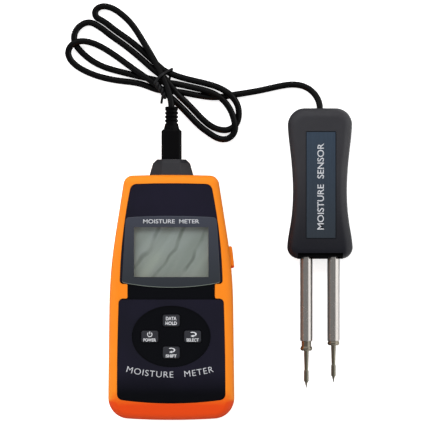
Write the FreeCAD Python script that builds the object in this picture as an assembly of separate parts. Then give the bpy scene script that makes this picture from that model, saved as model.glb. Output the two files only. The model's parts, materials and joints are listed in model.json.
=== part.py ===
import FreeCAD, Part
import math
import os

# Handheld pin-type moisture meter with its measuring probe on a coiled lead, laid flat on a table.
# Millimetres.  +Z is up, the origin is the centre of the meter's back face and +Y runs to the socket.

V = FreeCAD.Vector
UP = V(0, 0, 1)
ALONG = V(0, 1, 0)

# ---- driving dimensions: meter case ----
CASE_LENGTH = 126.4          # lower edge to top edge, on the centre line
CASE_WIDTH = 65.0            # widest, near the lower end
CASE_DEPTH = 27.0            # back face to the rim of the front
TOP_EDGE = 63.1              # Y of the top edge on the centre line
WALL = 2.2                   # case wall
CASE_BOSS = 2.9              # radius of the bosses round the case screws
BOARD_BOSS = 2.3
SPLIT = 14.0                 # height of the joint between rear cover and front bezel
TOP_HALF_WIDTH = 24.0        # half width where the sides meet the top edge
HIP = (31.7, 13.5)           # where the tapered upper sides turn almost straight
HIP_ROUND = 250.0            # radius that blends the two side slopes
TOP_CORNER = 4.8
BOTTOM_CORNER = 10.8
EDGE_BULGE_TOP = 0.4         # how far the top edge bows out
EDGE_BULGE_BOTTOM = 1.5      # how far the bottom edge bows out
FRONT_ROUND = 4.4            # rounding of the front edges of the case
BACK_ROUND = 3.2             # rounding of the back edges of the case
CHIN_START = -42.0           # Y where the front begins to slope down to the lower end
CHIN_RADIUS = 60.0
GAP = 0.1                    # assembly gap between neighbouring mouldings
LIP = 1.4                    # height of the locating lip between the case halves

# ---- driving dimensions: front ----
PANEL_DROP = 0.4             # panel face below the rim
PANEL_THICK = 2.0
DECK_THICK = 1.6             # case material under the panel
LENS_PROUD = 0.2             # lens face above the panel face
LENS_THICK = 1.7
SCREEN_CENTRE = 23.4         # Y of the centre of the screen
SCREEN_WIDTH = 38.3          # visible screen
SCREEN_HEIGHT = 25.7
WAIST_TOP = 7.1              # band between the display part and the keypad part of the panel
WAIST_BOTTOM = -0.5
WAIST_HALF = 22.4
KEYPAD_CENTRE = -20.0
KEYPAD_LENGTH = 40.6         # oval round the keys
KEYPAD_HEIGHT = 31.7
KEYPAD_DEPTH = 0.7
KEY_WIDTH = 8.7
KEY_HEIGHT = 6.1
KEY_REACH_X = 11.0           # key centres from the middle of the keypad
KEY_REACH_Y = 8.2
KEY_PROUD = 0.45             # key face above the panel face
KEY_GAP = 0.15
KEY_FLANGE = 0.9             # how far the hidden flange of a key reaches past the cap

# ---- driving dimensions: inside the meter ----
BOARD_BOTTOM = 17.0
BOARD_THICK = 1.6
BOARD_HALF = 23.5
BOARD_TOP_EDGE = 44.0
BOARD_LOW_EDGE = -50.0
LCD_WIDTH = 45.0
LCD_HEIGHT = 33.0
LCD_THICK = 2.3
CELL_RADIUS = 5.25           # AAA cell, 10.5 mm across and 44.5 mm long with its button
CELL_LENGTH = 44.5
CELL_PITCH = 10.6
CELL_COUNT = 4
SPRING_ROOM = 5.3            # length of a pressed contact spring
CONTACT_THICK = 0.4
BAY_TOP = 13.4               # underside of the roof over the cells
DOOR_THICK = 2.0
DOOR_TONGUE = 2.0            # how far the door runs into the rails at each side
CASE_SCREWS = [(18.5, 53.5), (27.2, -46.0)]
BOARD_SCREWS = [(20.0, 0.8), (20.0, -44.0)]

# ---- driving dimensions: side button ----
BUTTON_Y = 20.6
BUTTON_LENGTH = 11.4
BUTTON_HEIGHT = 6.6
BUTTON_Z = 15.5
BUTTON_PROUD = 1.6

# ---- driving dimensions: socket and plug ----
AXIS_Z = 13.5                # height of the socket and plug axis
HOOD_HALF = 11.3             # half width of the socket hood where it leaves the case
HOOD_HALF_HEIGHT = 9.3
HOOD_FACET = 5.0             # half width of the middle facet
HOOD_SHOULDER_Y = 69.2
HOOD_END_Y = 71.2
PLUG_WIDTH = 10.4
PLUG_HEIGHT = 9.4
PLUG_END_Y = 86.8
RELIEF_END_Y = 98.6
SHELL_RADIUS = 4.0           # metal nose of the plug
SOCKET_ROOM = 6.5            # radius of the room for the socket body in the hood
CONTACT_RADIUS = 0.85        # socket contact tube
PIN_RADIUS = 0.5             # plug pin
WIRE_RADIUS = 0.6            # inner wires
CONTACT_SPREAD = 1.8         # half the distance between the two contacts

# ---- driving dimensions: lead ----
CABLE_RADIUS = 1.65
CABLE_BORE = CABLE_RADIUS + 0.17
STRAND_GAP = 0.36            # space left between strands of the lead
LAY_STEP = 1.5               # spacing of the points that stand for the lead while it settles
HELD_AT_PLUG = 10            # points at either end that do not move
HELD_AT_PROBE = 8
TIE_RADIUS = 0.65
TIE_RUN = [(-4.4, 102.6), (-5.2, 107.0), (-8.0, 111.2), (-4.9, 115.3), (0.9, 119.0)]    # tie seen from above
TIE_TWIST_LENGTH = 9.0       # how far up that run the two ends are twisted together
TIE_TWIST_PITCH = 4.4
TIE_STEP = 0.35              # spacing of the points taken along that run

# ---- driving dimensions: probe ----
PROBE_X = 77.0               # centre line of the probe handle
HANDLE_TOP = 97.8
HANDLE_BOTTOM = 19.8
HANDLE_DEPTH = 18.0
HANDLE_WALL = 2.2
HANDLE_BOSS = 2.6
GROMMET_RADIUS = 2.5         # sleeve through the top wall of the handle
HANDLE_FRONT_ROUND = 5.0
HANDLE_BACK_ROUND = 3.5
LABEL_WIDTH = 15.6
LABEL_LENGTH = 55.4
LABEL_CENTRE = 58.0
ROD_RADIUS = 3.2
ROD_SPACING = 14.1
ROD_END_Y = -23.0
ROD_INNER_Y = 46.0
THREAD_RADIUS = 2.5          # M5 thread in the rod end, modelled smooth
RUNNING = 0.05               # radial running clearance
COLLAR_SHANK = 8.0
COLLAR_FLANGE = 2.2
COLLAR_RADIUS = 3.12
NEEDLE_RADIUS = 1.25
NEEDLE_OUT = 19.6            # needle showing below its collar
LEFT_UNSCREWED = 2.8         # the left collar stands this far out of its rod
HANDLE_SCREWS = [(10.0, 87.0), (8.6, 51.0)]
GUIDE_HALF = 11.6            # half width of the notch and rod guide at the lower end of the handle
GUIDE_REACH = 5.4            # guide below the rod axis
GUIDE_FACE = 3.5             # floor of the groove above the rod axis
GUIDE_STRIP = 5.2            # face of the guide above the rod axis
GUIDE_LENGTH = 1.9           # how far the face runs up from the end of the handle
NOTCH_TOP = 22.8             # Y where the notch ends

# ---- heights that follow from the driving dimensions ----
PANEL_FACE = CASE_DEPTH - PANEL_DROP
PANEL_FLOOR = PANEL_FACE - PANEL_THICK
DECK_UNDER = PANEL_FLOOR - DECK_THICK
LENS_FACE = PANEL_FACE + LENS_PROUD
LENS_FLOOR = LENS_FACE - LENS_THICK
BOARD_TOP = BOARD_BOTTOM + BOARD_THICK
HANDLE_SPLIT = HANDLE_DEPTH / 2
ROD_Z = HANDLE_SPLIT
BAY_LENGTH = CELL_LENGTH + SPRING_ROOM + 2 * CONTACT_THICK
BAY_LOW = -58.4
BAY_HIGH = BAY_LOW + BAY_LENGTH
BAY_HALF = CELL_PITCH * CELL_COUNT / 2 + 0.8
CELL_Z = DOOR_THICK + 0.45 + CELL_RADIUS


# ---- shape helpers ----
def box(x0, x1, y0, y1, z0, z1):
    return Part.makeBox(x1 - x0, y1 - y0, z1 - z0, V(x0, y0, z0))


def post(x, y, radius, z0, z1):
    return Part.makeCylinder(radius, z1 - z0, V(x, y, z0), UP)


def bar(x, z, radius, y0, y1):
    return Part.makeCylinder(radius, y1 - y0, V(x, y0, z), ALONG)


def tapered_bar(x, z, radius0, radius1, y0, y1):
    return Part.makeCone(radius0, radius1, y1 - y0, V(x, y0, z), ALONG)


def joined(shapes):
    first = shapes[0]
    return first.multiFuse(shapes[1:]).removeSplitter()


def both_sides(points):
    return [(side * x, y) for x, y in points for side in (-1, 1)]


def outline_face(stops):
    """Flat face from stops (x, y); a stop (x, y, "mid") is the middle of an arc between its neighbours."""
    edges = []
    start = V(stops[0][0], stops[0][1], 0)
    middle = None
    for stop in stops[1:] + [stops[0]]:
        here = V(stop[0], stop[1], 0)
        if len(stop) == 3:
            middle = here
            continue
        if middle is None:
            edges.append(Part.LineSegment(start, here).toShape())
        else:
            edges.append(Part.Arc(start, middle, here).toShape())
        start = here
        middle = None
    return Part.Face(Part.Wire(edges))


def lifted(face, z0, z1):
    solid = face.extrude(V(0, 0, z1 - z0))
    solid.translate(V(0, 0, z0))
    return solid


def is_upright(edge):
    if len(edge.Vertexes) != 2:
        return False
    a, b = edge.Vertexes[0].Point, edge.Vertexes[1].Point
    return abs(a.x - b.x) < 1e-6 and abs(a.y - b.y) < 1e-6 and abs(a.z - b.z) > 0.2


def round_uprights(solid, corners, radius):
    """Rounds the upright edges that stand on the given corners."""
    chosen = []
    for edge in solid.Edges:
        if not is_upright(edge):
            continue
        foot = edge.Vertexes[0].Point
        if any(math.hypot(foot.x - x, foot.y - y) < 0.3 for x, y in corners):
            chosen.append(edge)
    return solid.makeFillet(radius, chosen)


def rounded_slab(width, length, radius, z0, z1, x=0.0, y=0.0):
    corners = [(x + sx * width / 2, y + sy * length / 2) for sx in (-1, 1) for sy in (-1, 1)]
    slab = box(x - width / 2, x + width / 2, y - length / 2, y + length / 2, z0, z1)
    return round_uprights(slab, corners, radius)


def edges_at_height(solid, z, within=0.01):
    return [e for e in solid.Edges if all(abs(v.Point.z - z) < within for v in e.Vertexes)]


def edges_across(solid, y, within=0.01):
    return [e for e in solid.Edges if all(abs(v.Point.y - y) < within for v in e.Vertexes)]


def rings_along(curve, stations):
    """Centre and two cross directions at every station; the directions never twist."""
    rings = []
    side = None
    for station in stations:
        centre = curve.value(station)
        heading = curve.tangent(station)[0]
        heading.normalize()
        if side is None:
            side = heading.cross(UP if abs(heading.z) < 0.9 else ALONG)
        side = side - heading * side.dot(heading)
        side.normalize()
        rings.append((centre, side, heading.cross(side)))
    return rings


def swept(points, radius, step=1.5):
    """Round wire or cable along a smooth curve through the points: a true circle at every station."""
    curve = Part.BSplineCurve()
    curve.interpolate([V(*p) for p in points])
    count = max(8, int(curve.length() / step))
    first, last = curve.FirstParameter, curve.LastParameter
    stations = [first + (last - first) * n / count for n in range(count + 1)]
    rings = rings_along(curve, stations)
    columns = []
    for n in range(9):
        angle = math.radians(45 * n)
        reach = radius if n % 2 == 0 else radius * math.sqrt(2)
        column = Part.BSplineCurve()
        stops = [c + side * (reach * math.cos(angle)) + up * (reach * math.sin(angle)) for c, side, up in rings]
        column.interpolate(Points=stops, Parameters=stations)
        columns.append(column)
    along = columns[0]
    poles = [[column.getPole(k + 1) for column in columns] for k in range(along.NbPoles)]
    weights = [[1.0 if n % 2 == 0 else math.sqrt(0.5) for n in range(9)] for k in range(along.NbPoles)]
    skin = Part.BSplineSurface()
    skin.buildFromPolesMultsKnots(poles, along.getMultiplicities(), [3, 2, 2, 2, 3], along.getKnots(),
                                  [0, 1, 2, 3, 4], False, False, along.Degree, 2, weights)
    pieces = max(1, count // 20)
    faces = []
    for n in range(pieces):
        patch = skin.copy()
        patch.segment(stations[count * n // pieces], stations[count * (n + 1) // pieces], 0, 4)
        faces.append(patch.toShape())
    caps = [end_cap(faces[0], rings[0][0]), end_cap(faces[-1], rings[-1][0])]
    shell = Part.makeShell(faces + caps)
    shell.sewShape()
    return Part.makeSolid(shell)


def end_cap(face, centre):
    """Flat disc on the closed rim of a tube face that is nearest to a centre."""
    rims = [e for e in face.Edges if e.isClosed()]
    rim = min(rims, key=lambda e: e.CenterOfMass.distanceToPoint(centre))
    return Part.Face(Part.Wire([rim]))


def cross_recess(x, y, z, reach, depth):
    """Cutter for a cross slot opening downwards at height z."""
    slot = reach * 0.3
    arm_x = box(x - reach, x + reach, y - slot, y + slot, z, z + depth)
    arm_y = box(x - slot, x + slot, y - reach, y + reach, z, z + depth)
    return arm_x.fuse(arm_y)


def screw_from_back(x, y, head_z, head_radius, head_thick, shank_radius, tip_z):
    head = post(x, y, head_radius, head_z, head_z + head_thick)
    head = head.makeChamfer(head_thick * 0.3, edges_at_height(head, head_z))
    shank = post(x, y, shank_radius, head_z + head_thick, tip_z)
    slot = cross_recess(x, y, head_z, head_radius * 0.55, head_thick * 0.6)
    return head.fuse(shank).removeSplitter().cut(slot)


# ---- meter case ----
def case_outline():
    low_y = TOP_EDGE - CASE_LENGTH
    low_corner = (CASE_WIDTH / 2 + 0.12, low_y + EDGE_BULGE_BOTTOM)
    top_corner = (TOP_HALF_WIDTH, TOP_EDGE - EDGE_BULGE_TOP)
    stops = [top_corner, HIP, low_corner, (0, low_y, "mid")]
    stops += [(-low_corner[0], low_corner[1]), (-HIP[0], HIP[1]), (-top_corner[0], top_corner[1])]
    stops += [(0, TOP_EDGE, "mid")]
    solid = lifted(outline_face(stops), 0, CASE_DEPTH)
    solid = round_uprights(solid, both_sides([top_corner]), TOP_CORNER)
    solid = round_uprights(solid, both_sides([low_corner]), BOTTOM_CORNER)
    return round_uprights(solid, both_sides([HIP]), HIP_ROUND)


def outline_inset(outline, inset, z0, z1):
    """Prism of the case outline drawn in by an inset."""
    floor = [f for f in outline.Faces if f.CenterOfMass.z < 1e-6][0]
    smaller = floor.makeOffset2D(-inset)
    return lifted(smaller, z0, z1)


def under_skin(drop):
    """Everything below the front skin of the case lowered by a drop: flat, then sloping at the chin."""
    radius = CHIN_RADIUS - drop
    centre_z = CASE_DEPTH - CHIN_RADIUS
    turn = math.radians(34)
    flat_z = centre_z + radius
    middle = V(0, CHIN_START - radius * math.sin(turn / 2), centre_z + radius * math.cos(turn / 2))
    low = V(0, CHIN_START - radius * math.sin(turn), centre_z + radius * math.cos(turn))
    corner = V(0, CHIN_START, flat_z)
    far = V(0, 80, flat_z)
    far_low = V(0, 80, -20)
    low_low = V(0, low.y, -20)
    edges = [Part.LineSegment(far, corner).toShape()]
    edges.append(Part.Arc(corner, middle, low).toShape())
    edges.append(Part.LineSegment(low, low_low).toShape())
    edges.append(Part.LineSegment(low_low, far_low).toShape())
    edges.append(Part.LineSegment(far_low, far).toShape())
    block = Part.Face(Part.Wire(edges)).extrude(V(100, 0, 0))
    block.translate(V(-50, 0, 0))
    return block


def case_block(outline):
    """The closed outside form of both case halves."""
    block = outline.common(under_skin(0))
    block = block.Solids[0]
    seam_y = CHIN_START

    def front_edge(edge):
        ends = [v.Point for v in edge.Vertexes]
        crosses = len(ends) == 2 and all(abs(p.y - seam_y) < 0.5 for p in ends)
        return min(p.z for p in ends) > CASE_DEPTH - 9 and not crosses

    block = block.makeFillet(FRONT_ROUND, [e for e in block.Edges if front_edge(e)])
    return block.makeFillet(BACK_ROUND, edges_at_height(block, 0))


def panel_half(grow):
    """Right side of the panel outline from the top edge down to the lower edge, moved outwards by grow."""
    return {
        "top": (20.5 + grow, 58.3 + grow),
        "side": (24.4 + grow, 35.0),
        "hip": (26.4 + grow, WAIST_TOP - grow),
        "neck_top": (WAIST_HALF + grow, WAIST_TOP - grow),
        "neck_low": (WAIST_HALF + grow, WAIST_BOTTOM + grow),
        "shoulder": (26.9 + grow, WAIST_BOTTOM + grow),
        "flank": (27.6 + grow, -27.0),
        "low": (27.8 + grow, -52.3 - grow),
    }


def panel_prism(grow, z0, z1):
    """Prism of the front panel, grown sideways for the pocket that takes it."""
    p = panel_half(grow)
    right = [p["top"], p["side"] + ("mid",), p["hip"], p["neck_top"], p["neck_low"], p["shoulder"]]
    right += [p["flank"] + ("mid",), p["low"]]
    left = [(-s[0],) + s[1:] for s in reversed(right)]
    stops = right + [(0, -54.4 - grow, "mid")] + left + [(0, 58.7 + grow, "mid")]
    solid = lifted(outline_face(stops), z0, z1)
    for name, radius in (("top", 3.6), ("hip", 1.8), ("shoulder", 2.4), ("low", 3.2)):
        solid = round_uprights(solid, both_sides([p[name]]), radius)
    for name in ("neck_top", "neck_low"):
        solid = round_uprights(solid, both_sides([p[name]]), 0.8)
    return solid


def lens_prism(grow, z0, z1):
    top = (23.5 + grow, 41.3 + grow)
    low = (25.5 + grow, 7.7 - grow)
    stops = [top, low, (0, 5.1 - grow, "mid"), (-low[0], low[1]), (-top[0], top[1])]
    stops += [(0, 42.1 + grow, "mid")]
    solid = lifted(outline_face(stops), z0, z1)
    solid = round_uprights(solid, both_sides([top]), 2.2)
    return round_uprights(solid, both_sides([low]), 1.7)


def key_places():
    return {
        "hold_key": (0, KEYPAD_CENTRE + KEY_REACH_Y),
        "power_key": (-KEY_REACH_X, KEYPAD_CENTRE),
        "select_key": (KEY_REACH_X, KEYPAD_CENTRE),
        "shift_key": (0, KEYPAD_CENTRE - KEY_REACH_Y),
    }


def key_openings():
    width = KEY_WIDTH + 2 * KEY_GAP
    height = KEY_HEIGHT + 2 * KEY_GAP
    holes = [rounded_slab(width, height, 1.3, 20, 30, x, y) for x, y in key_places().values()]
    return holes[0].multiFuse(holes[1:])


def key(x, y):
    face = PANEL_FACE + KEY_PROUD
    cap = rounded_slab(KEY_WIDTH, KEY_HEIGHT, 1.2, DECK_UNDER - 0.2, face, x, y)
    cap = cap.makeFillet(0.6, edges_at_height(cap, face))
    width = KEY_WIDTH + 2 * KEY_FLANGE
    height = KEY_HEIGHT + 2 * KEY_FLANGE
    flange = rounded_slab(width, height, 1.6, DECK_UNDER - 1.1, DECK_UNDER - 0.1, x, y)
    return cap.fuse(flange).removeSplitter()


def side_button_frame():
    """Point on the case side and the angle of the wall there."""
    slope = (HIP[0] - TOP_HALF_WIDTH) / (TOP_EDGE - EDGE_BULGE_TOP - HIP[1])
    wall_x = HIP[0] - slope * (BUTTON_Y - HIP[1]) - 0.22
    tilt = math.degrees(math.atan(slope)) - 2.3
    return wall_x, tilt


def placed_on_side(solid):
    wall_x, tilt = side_button_frame()
    solid.rotate(V(0, 0, 0), UP, tilt)
    solid.translate(V(wall_x, BUTTON_Y, 0))
    return solid


def side_block(length, height, x0, x1, radius):
    """Block on the side wall in the button's own frame, X outwards, with rounded ends."""
    half_z = height / 2
    block = box(x0, x1, -length / 2, length / 2, BUTTON_Z - half_z, BUTTON_Z + half_z)
    ends = [e for e in block.Edges if abs(e.Vertexes[0].Point.x - e.Vertexes[1].Point.x) > 0.2]
    return block.makeFillet(radius, ends)


def side_button():
    cap = side_block(BUTTON_LENGTH, BUTTON_HEIGHT, -2.5, BUTTON_PROUD, 1.6)
    outer = [e for e in cap.Edges if all(abs(v.Point.x - BUTTON_PROUD) < 1e-6 for v in e.Vertexes)]
    cap = cap.makeFillet(1.0, outer)
    flange = side_block(BUTTON_LENGTH + 2.4, BUTTON_HEIGHT + 2.0, -3.5, -2.4, 1.6)
    stem = Part.makeCylinder(1.6, 1.6, V(-5.0, 0, BUTTON_Z), V(1, 0, 0))
    return placed_on_side(joined([cap, flange, stem]))


def side_button_hole():
    return placed_on_side(side_block(BUTTON_LENGTH + 0.3, BUTTON_HEIGHT + 0.3, -4, 4, 1.7))


def side_switch():
    body = box(-9.6, -6.2, -3.0, 3.0, BUTTON_Z - 1.9, BOARD_BOTTOM)
    collar = Part.makeCylinder(1.7, 0.4, V(-6.2, 0, BUTTON_Z), V(1, 0, 0))
    bore = Part.makeCylinder(1.05, 3.0, V(-8.4, 0, BUTTON_Z), V(1, 0, 0))
    return placed_on_side(joined([body, collar]).cut(bore))


def switch_plunger():
    pin = Part.makeCylinder(1.0, 2.4, V(-7.4, 0, BUTTON_Z), V(1, 0, 0))
    return placed_on_side(pin)


def octagon(half, half_height, facet, y):
    """Eight-sided section round the socket axis, at a given Y."""
    flank = half_height * 0.36
    corners = [(facet, half_height), (half, flank), (half, -flank), (facet, -half_height)]
    corners += [(-x, z) for x, z in reversed(corners)]
    points = [V(x, y, AXIS_Z + z) for x, z in corners]
    return Part.makePolygon(points + [points[0]])


def hood_neck(grow):
    half = HOOD_HALF + grow
    height = HOOD_HALF_HEIGHT + grow
    return Part.makeLoft([octagon(half, height, HOOD_FACET, y) for y in (60.7, 66.0)], True, True)


def socket_hood():
    sections = [octagon(HOOD_HALF, HOOD_HALF_HEIGHT, HOOD_FACET, 60.5)]
    sections.append(octagon(HOOD_HALF, HOOD_HALF_HEIGHT, HOOD_FACET, TOP_EDGE + 0.1))
    sections.append(octagon(HOOD_HALF * 0.85, HOOD_HALF_HEIGHT * 0.86, HOOD_FACET * 0.92, HOOD_SHOULDER_Y))
    sections.append(octagon(HOOD_HALF * 0.66, HOOD_HALF_HEIGHT * 0.7, HOOD_FACET * 0.86, HOOD_END_Y))
    hood = Part.makeLoft(sections, True, True)
    long_edges = []
    for edge in hood.Edges:
        ends = sorted(v.Point.y for v in edge.Vertexes)
        if ends[1] - ends[0] > 1 and ends[0] > TOP_EDGE:
            long_edges.append(edge)
    hood = hood.makeFillet(0.5, long_edges)
    flange_sections = [octagon(HOOD_HALF + 1.2, HOOD_HALF_HEIGHT + 0.1, HOOD_FACET, y) for y in (58.6, 60.6)]
    hood = hood.fuse(Part.makeLoft(flange_sections, True, True)).removeSplitter()
    hood = hood.cut(bar(0, AXIS_Z, SOCKET_ROOM, 58, 69.0))
    return hood.cut(bar(0, AXIS_Z, SHELL_RADIUS + 0.5, 68, 72))


def screw_bosses(places, radius, z0, z1):
    return [post(x, y, radius, z0, z1) for x, y in both_sides(places)]


def cut_posts(solid, places, radius, z0, z1):
    for x, y in both_sides(places):
        solid = solid.cut(post(x, y, radius, z0, z1))
    return solid


def front_bezel(outline, block):
    """Orange front half: rim, deck under the panel, screw bosses."""
    hollow = outline_inset(outline, WALL, SPLIT - 1, CASE_DEPTH).common(under_skin(CASE_DEPTH - DECK_UNDER))
    solid = block.common(box(-50, 50, -80, 80, SPLIT, CASE_DEPTH + 1)).cut(hollow)
    bosses = screw_bosses(CASE_SCREWS, CASE_BOSS, SPLIT, DECK_UNDER + 0.3)
    bosses += screw_bosses(BOARD_SCREWS, BOARD_BOSS, BOARD_TOP, DECK_UNDER + 0.3)
    solid = joined([solid] + bosses)
    solid = solid.cut(outline_inset(outline, LIP - GAP, SPLIT - 1, SPLIT + LIP + GAP))
    solid = joined([solid] + screw_bosses(CASE_SCREWS, CASE_BOSS, SPLIT, SPLIT + LIP + 1))
    solid = solid.cut(panel_prism(GAP, 20, 30).cut(under_skin(PANEL_DROP + PANEL_THICK)))
    opening = rounded_slab(SCREEN_WIDTH + 2, SCREEN_HEIGHT + 2, 0.6, 20, 26, 0, SCREEN_CENTRE)
    solid = solid.cut(opening).cut(key_openings())
    solid = solid.cut(side_button_hole()).cut(hood_neck(0.05))
    solid = cut_posts(solid, CASE_SCREWS, 1.3, SPLIT - 1, 21.0)
    return cut_posts(solid, BOARD_SCREWS, 0.95, BOARD_TOP - 1, 22.0)


def door_cutter(gap):
    """Space of the battery door and its two rail tongues."""
    plate = box(-BAY_HALF - gap, BAY_HALF + gap, -80, BAY_HIGH + 1.2 + gap, -1, DOOR_THICK + gap)
    reach = BAY_HALF + DOOR_TONGUE + gap
    tongues = box(-reach, reach, -80, BAY_HIGH + 1.2 + gap, DOOR_THICK / 2 - gap, DOOR_THICK + gap)
    return plate.fuse(tongues).removeSplitter()


def battery_door(block):
    """Sliding cover of the battery bay; its lower end follows the case and carries grip ribs."""
    door = door_cutter(0).common(block)
    for n in range(6):
        y = -34.0 - 2.4 * n
        half = 9.0 - 0.9 * abs(n - 2.5)
        door = door.cut(box(-half, half, y - 0.5, y + 0.5, -1, 0.5))
    return door


def rear_cover(outline, block):
    """Orange back half with the battery bay, its rails and the screw bosses."""
    hollow = outline_inset(outline, WALL, WALL, SPLIT + 1)
    solid = block.common(box(-50, 50, -80, 80, -1, SPLIT)).cut(hollow)
    seam = outline_inset(outline, -1, SPLIT - 0.5, SPLIT).cut(outline_inset(outline, 0.4, SPLIT - 1, SPLIT))
    solid = solid.cut(seam)
    lip = outline_inset(outline, LIP, SPLIT - 2, SPLIT + LIP).cut(outline_inset(outline, WALL, 0, SPLIT + 3))
    bay = box(-BAY_HALF - 1.4, BAY_HALF + 1.4, BAY_LOW - 1.4, BAY_HIGH + 1.4, 0.5, BAY_TOP + 1.4)
    rails = box(-BAY_HALF - 3.6, BAY_HALF + 3.6, -61.5, BAY_HIGH + 3.0, 0.5, 3.4)
    rails = rails.common(outline_inset(outline, 1.0, 0, 5))
    bosses = screw_bosses(CASE_SCREWS, CASE_BOSS, 0.5, SPLIT)
    solid = joined([solid, lip, bay, rails] + bosses)
    solid = solid.cut(box(-BAY_HALF, BAY_HALF, BAY_LOW, BAY_HIGH, 0, BAY_TOP))
    solid = solid.cut(door_cutter(GAP))
    for x in contact_tab_places():
        solid = solid.cut(box(x - 1.3, x + 1.3, BAY_HIGH - 0.9, BAY_HIGH, BAY_TOP - 1, BAY_TOP + 3))
    for x, y in both_sides(CASE_SCREWS):
        solid = solid.cut(post(x, y, CASE_BOSS, SPLIT, SPLIT + LIP + 1))
    solid = solid.cut(side_button_hole()).cut(hood_neck(0.05))
    solid = cut_posts(solid, CASE_SCREWS, 2.7, -1, 3.2)
    return cut_posts(solid, CASE_SCREWS, 1.4, 0, SPLIT + 1)


def case_screws():
    return [screw_from_back(x, y, 1.2, 2.5, 2.0, 1.3, 20.5) for x, y in both_sides(CASE_SCREWS)]


def face_panel():
    """Dark panel: display part, sunk waist band, keypad part with its oval."""
    solid = panel_prism(0, 20, 30).common(under_skin(PANEL_DROP)).cut(under_skin(PANEL_DROP + PANEL_THICK))
    solid = solid.cut(lens_prism(GAP, LENS_FLOOR, 30))
    solid = solid.cut(rounded_slab(SCREEN_WIDTH + 3, SCREEN_HEIGHT + 3, 0.8, 20, 30, 0, SCREEN_CENTRE))
    waist_floor = PANEL_FACE - 0.8
    solid = solid.cut(box(-40, 40, -1.0, WAIST_TOP + 1.0, waist_floor, 30).cut(lens_prism(GAP, 20, 30)))
    long_half = KEYPAD_LENGTH / 2
    short_half = KEYPAD_HEIGHT / 2
    rim = Part.Ellipse(V(0, KEYPAD_CENTRE, 0), long_half, short_half).toShape()
    oval = lifted(Part.Face(Part.Wire([rim])), PANEL_FACE - KEYPAD_DEPTH, 30)
    return solid.cut(oval).cut(key_openings())


def display_lens():
    lens = lens_prism(0, LENS_FLOOR, LENS_FACE)
    return lens.makeFillet(0.5, edges_at_height(lens, LENS_FACE))


# ---- inside the meter ----
def lcd_glass():
    """Two bonded glass sheets, the lower one longer for its contact ledges."""
    upper = box(-LCD_WIDTH / 2, LCD_WIDTH / 2, -LCD_HEIGHT / 2 + 2.4, LCD_HEIGHT / 2 - 2.4, 0, LCD_THICK / 2)
    lower = box(-LCD_WIDTH / 2, LCD_WIDTH / 2, -LCD_HEIGHT / 2, LCD_HEIGHT / 2, -LCD_THICK / 2, 0)
    glass = upper.fuse(lower).removeSplitter()
    glass.translate(V(0, SCREEN_CENTRE, DECK_UNDER - LCD_THICK / 2))
    return glass


def zebra_places():
    reach = LCD_HEIGHT / 2 - 1.6
    return [SCREEN_CENTRE - reach, SCREEN_CENTRE + reach]


def zebra_strips():
    top = DECK_UNDER - LCD_THICK
    return [box(-19, 19, y - 0.9, y + 0.9, BOARD_TOP, top) for y in zebra_places()]


def lcd_holder():
    """White frame round the glass with a reflector plate behind it."""
    width = LCD_WIDTH + 3.0
    height = LCD_HEIGHT + 3.0
    top = DECK_UNDER - LCD_THICK
    frame = rounded_slab(width, height, 1.0, BOARD_TOP, DECK_UNDER - 0.1, 0, SCREEN_CENTRE)
    room_x = LCD_WIDTH / 2 + GAP
    room_y = LCD_HEIGHT / 2 + GAP
    frame = frame.cut(box(-room_x, room_x, SCREEN_CENTRE - room_y, SCREEN_CENTRE + room_y, top, 30))
    for y in zebra_places():
        frame = frame.cut(box(-19.1, 19.1, y - 1.0, y + 1.0, BOARD_TOP - 1, top + 1))
    return frame


def main_board():
    """Printed board with cut corners and holes for its screws."""
    cut = 5.0
    stops = [(BOARD_HALF - cut, BOARD_TOP_EDGE), (BOARD_HALF, BOARD_TOP_EDGE - cut)]
    stops += [(BOARD_HALF, BOARD_LOW_EDGE), (-BOARD_HALF, BOARD_LOW_EDGE)]
    stops += [(-BOARD_HALF, BOARD_TOP_EDGE - cut), (-BOARD_HALF + cut, BOARD_TOP_EDGE)]
    board = lifted(outline_face(stops), BOARD_BOTTOM, BOARD_TOP)
    return cut_posts(board, BOARD_SCREWS, 1.1, BOARD_BOTTOM - 1, BOARD_TOP + 1)


def board_screws():
    places = both_sides(BOARD_SCREWS)
    return [screw_from_back(x, y, BOARD_BOTTOM - 1.4, 1.9, 1.4, 0.95, 21.5) for x, y in places]


def controller_chip():
    """Flat square package with rows of bent leads on the back of the board."""
    body_half = 5.0
    body = box(-body_half, body_half, -body_half, body_half, -1.7, -0.2)
    legs = []
    for n in range(11):
        step = -4.0 + 0.8 * n
        for side in (-1, 1):
            x0, x1 = sorted((side * (body_half - 0.1), side * (body_half + 1.0)))
            legs.append(box(x0, x1, step - 0.17, step + 0.17, -0.35, 0))
            legs.append(box(step - 0.17, step + 0.17, x0, x1, -0.35, 0))
    chip = joined([body] + legs)
    chip.translate(V(2, 27, BOARD_BOTTOM))
    return chip


def board_components():
    """Smaller parts on the back of the board: amplifier, crystal, capacitors, resistors."""
    under = BOARD_BOTTOM
    parts = [box(-17, -12, 22, 26, under - 1.6, under), box(-17, -12, 30, 34, under - 1.6, under)]
    crystal = rounded_slab(10.5, 4.4, 2.1, under - 3.4, under, -3, 38.5)
    parts.append(crystal)
    for n in range(3):
        parts.append(post(12 + 0.5 * n, 13 - 6.5 * n, 2.5, under - 4.8 + 0.9 * n, under))
    for n in range(6):
        parts.append(box(-9 + 3.2 * n, -8.2 + 3.2 * n, 12, 13.6, under - 0.6, under))
        parts.append(box(-9 + 3.2 * n, -8.2 + 3.2 * n, 7.4, 9.0, under - 0.6, under))
    return parts


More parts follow.
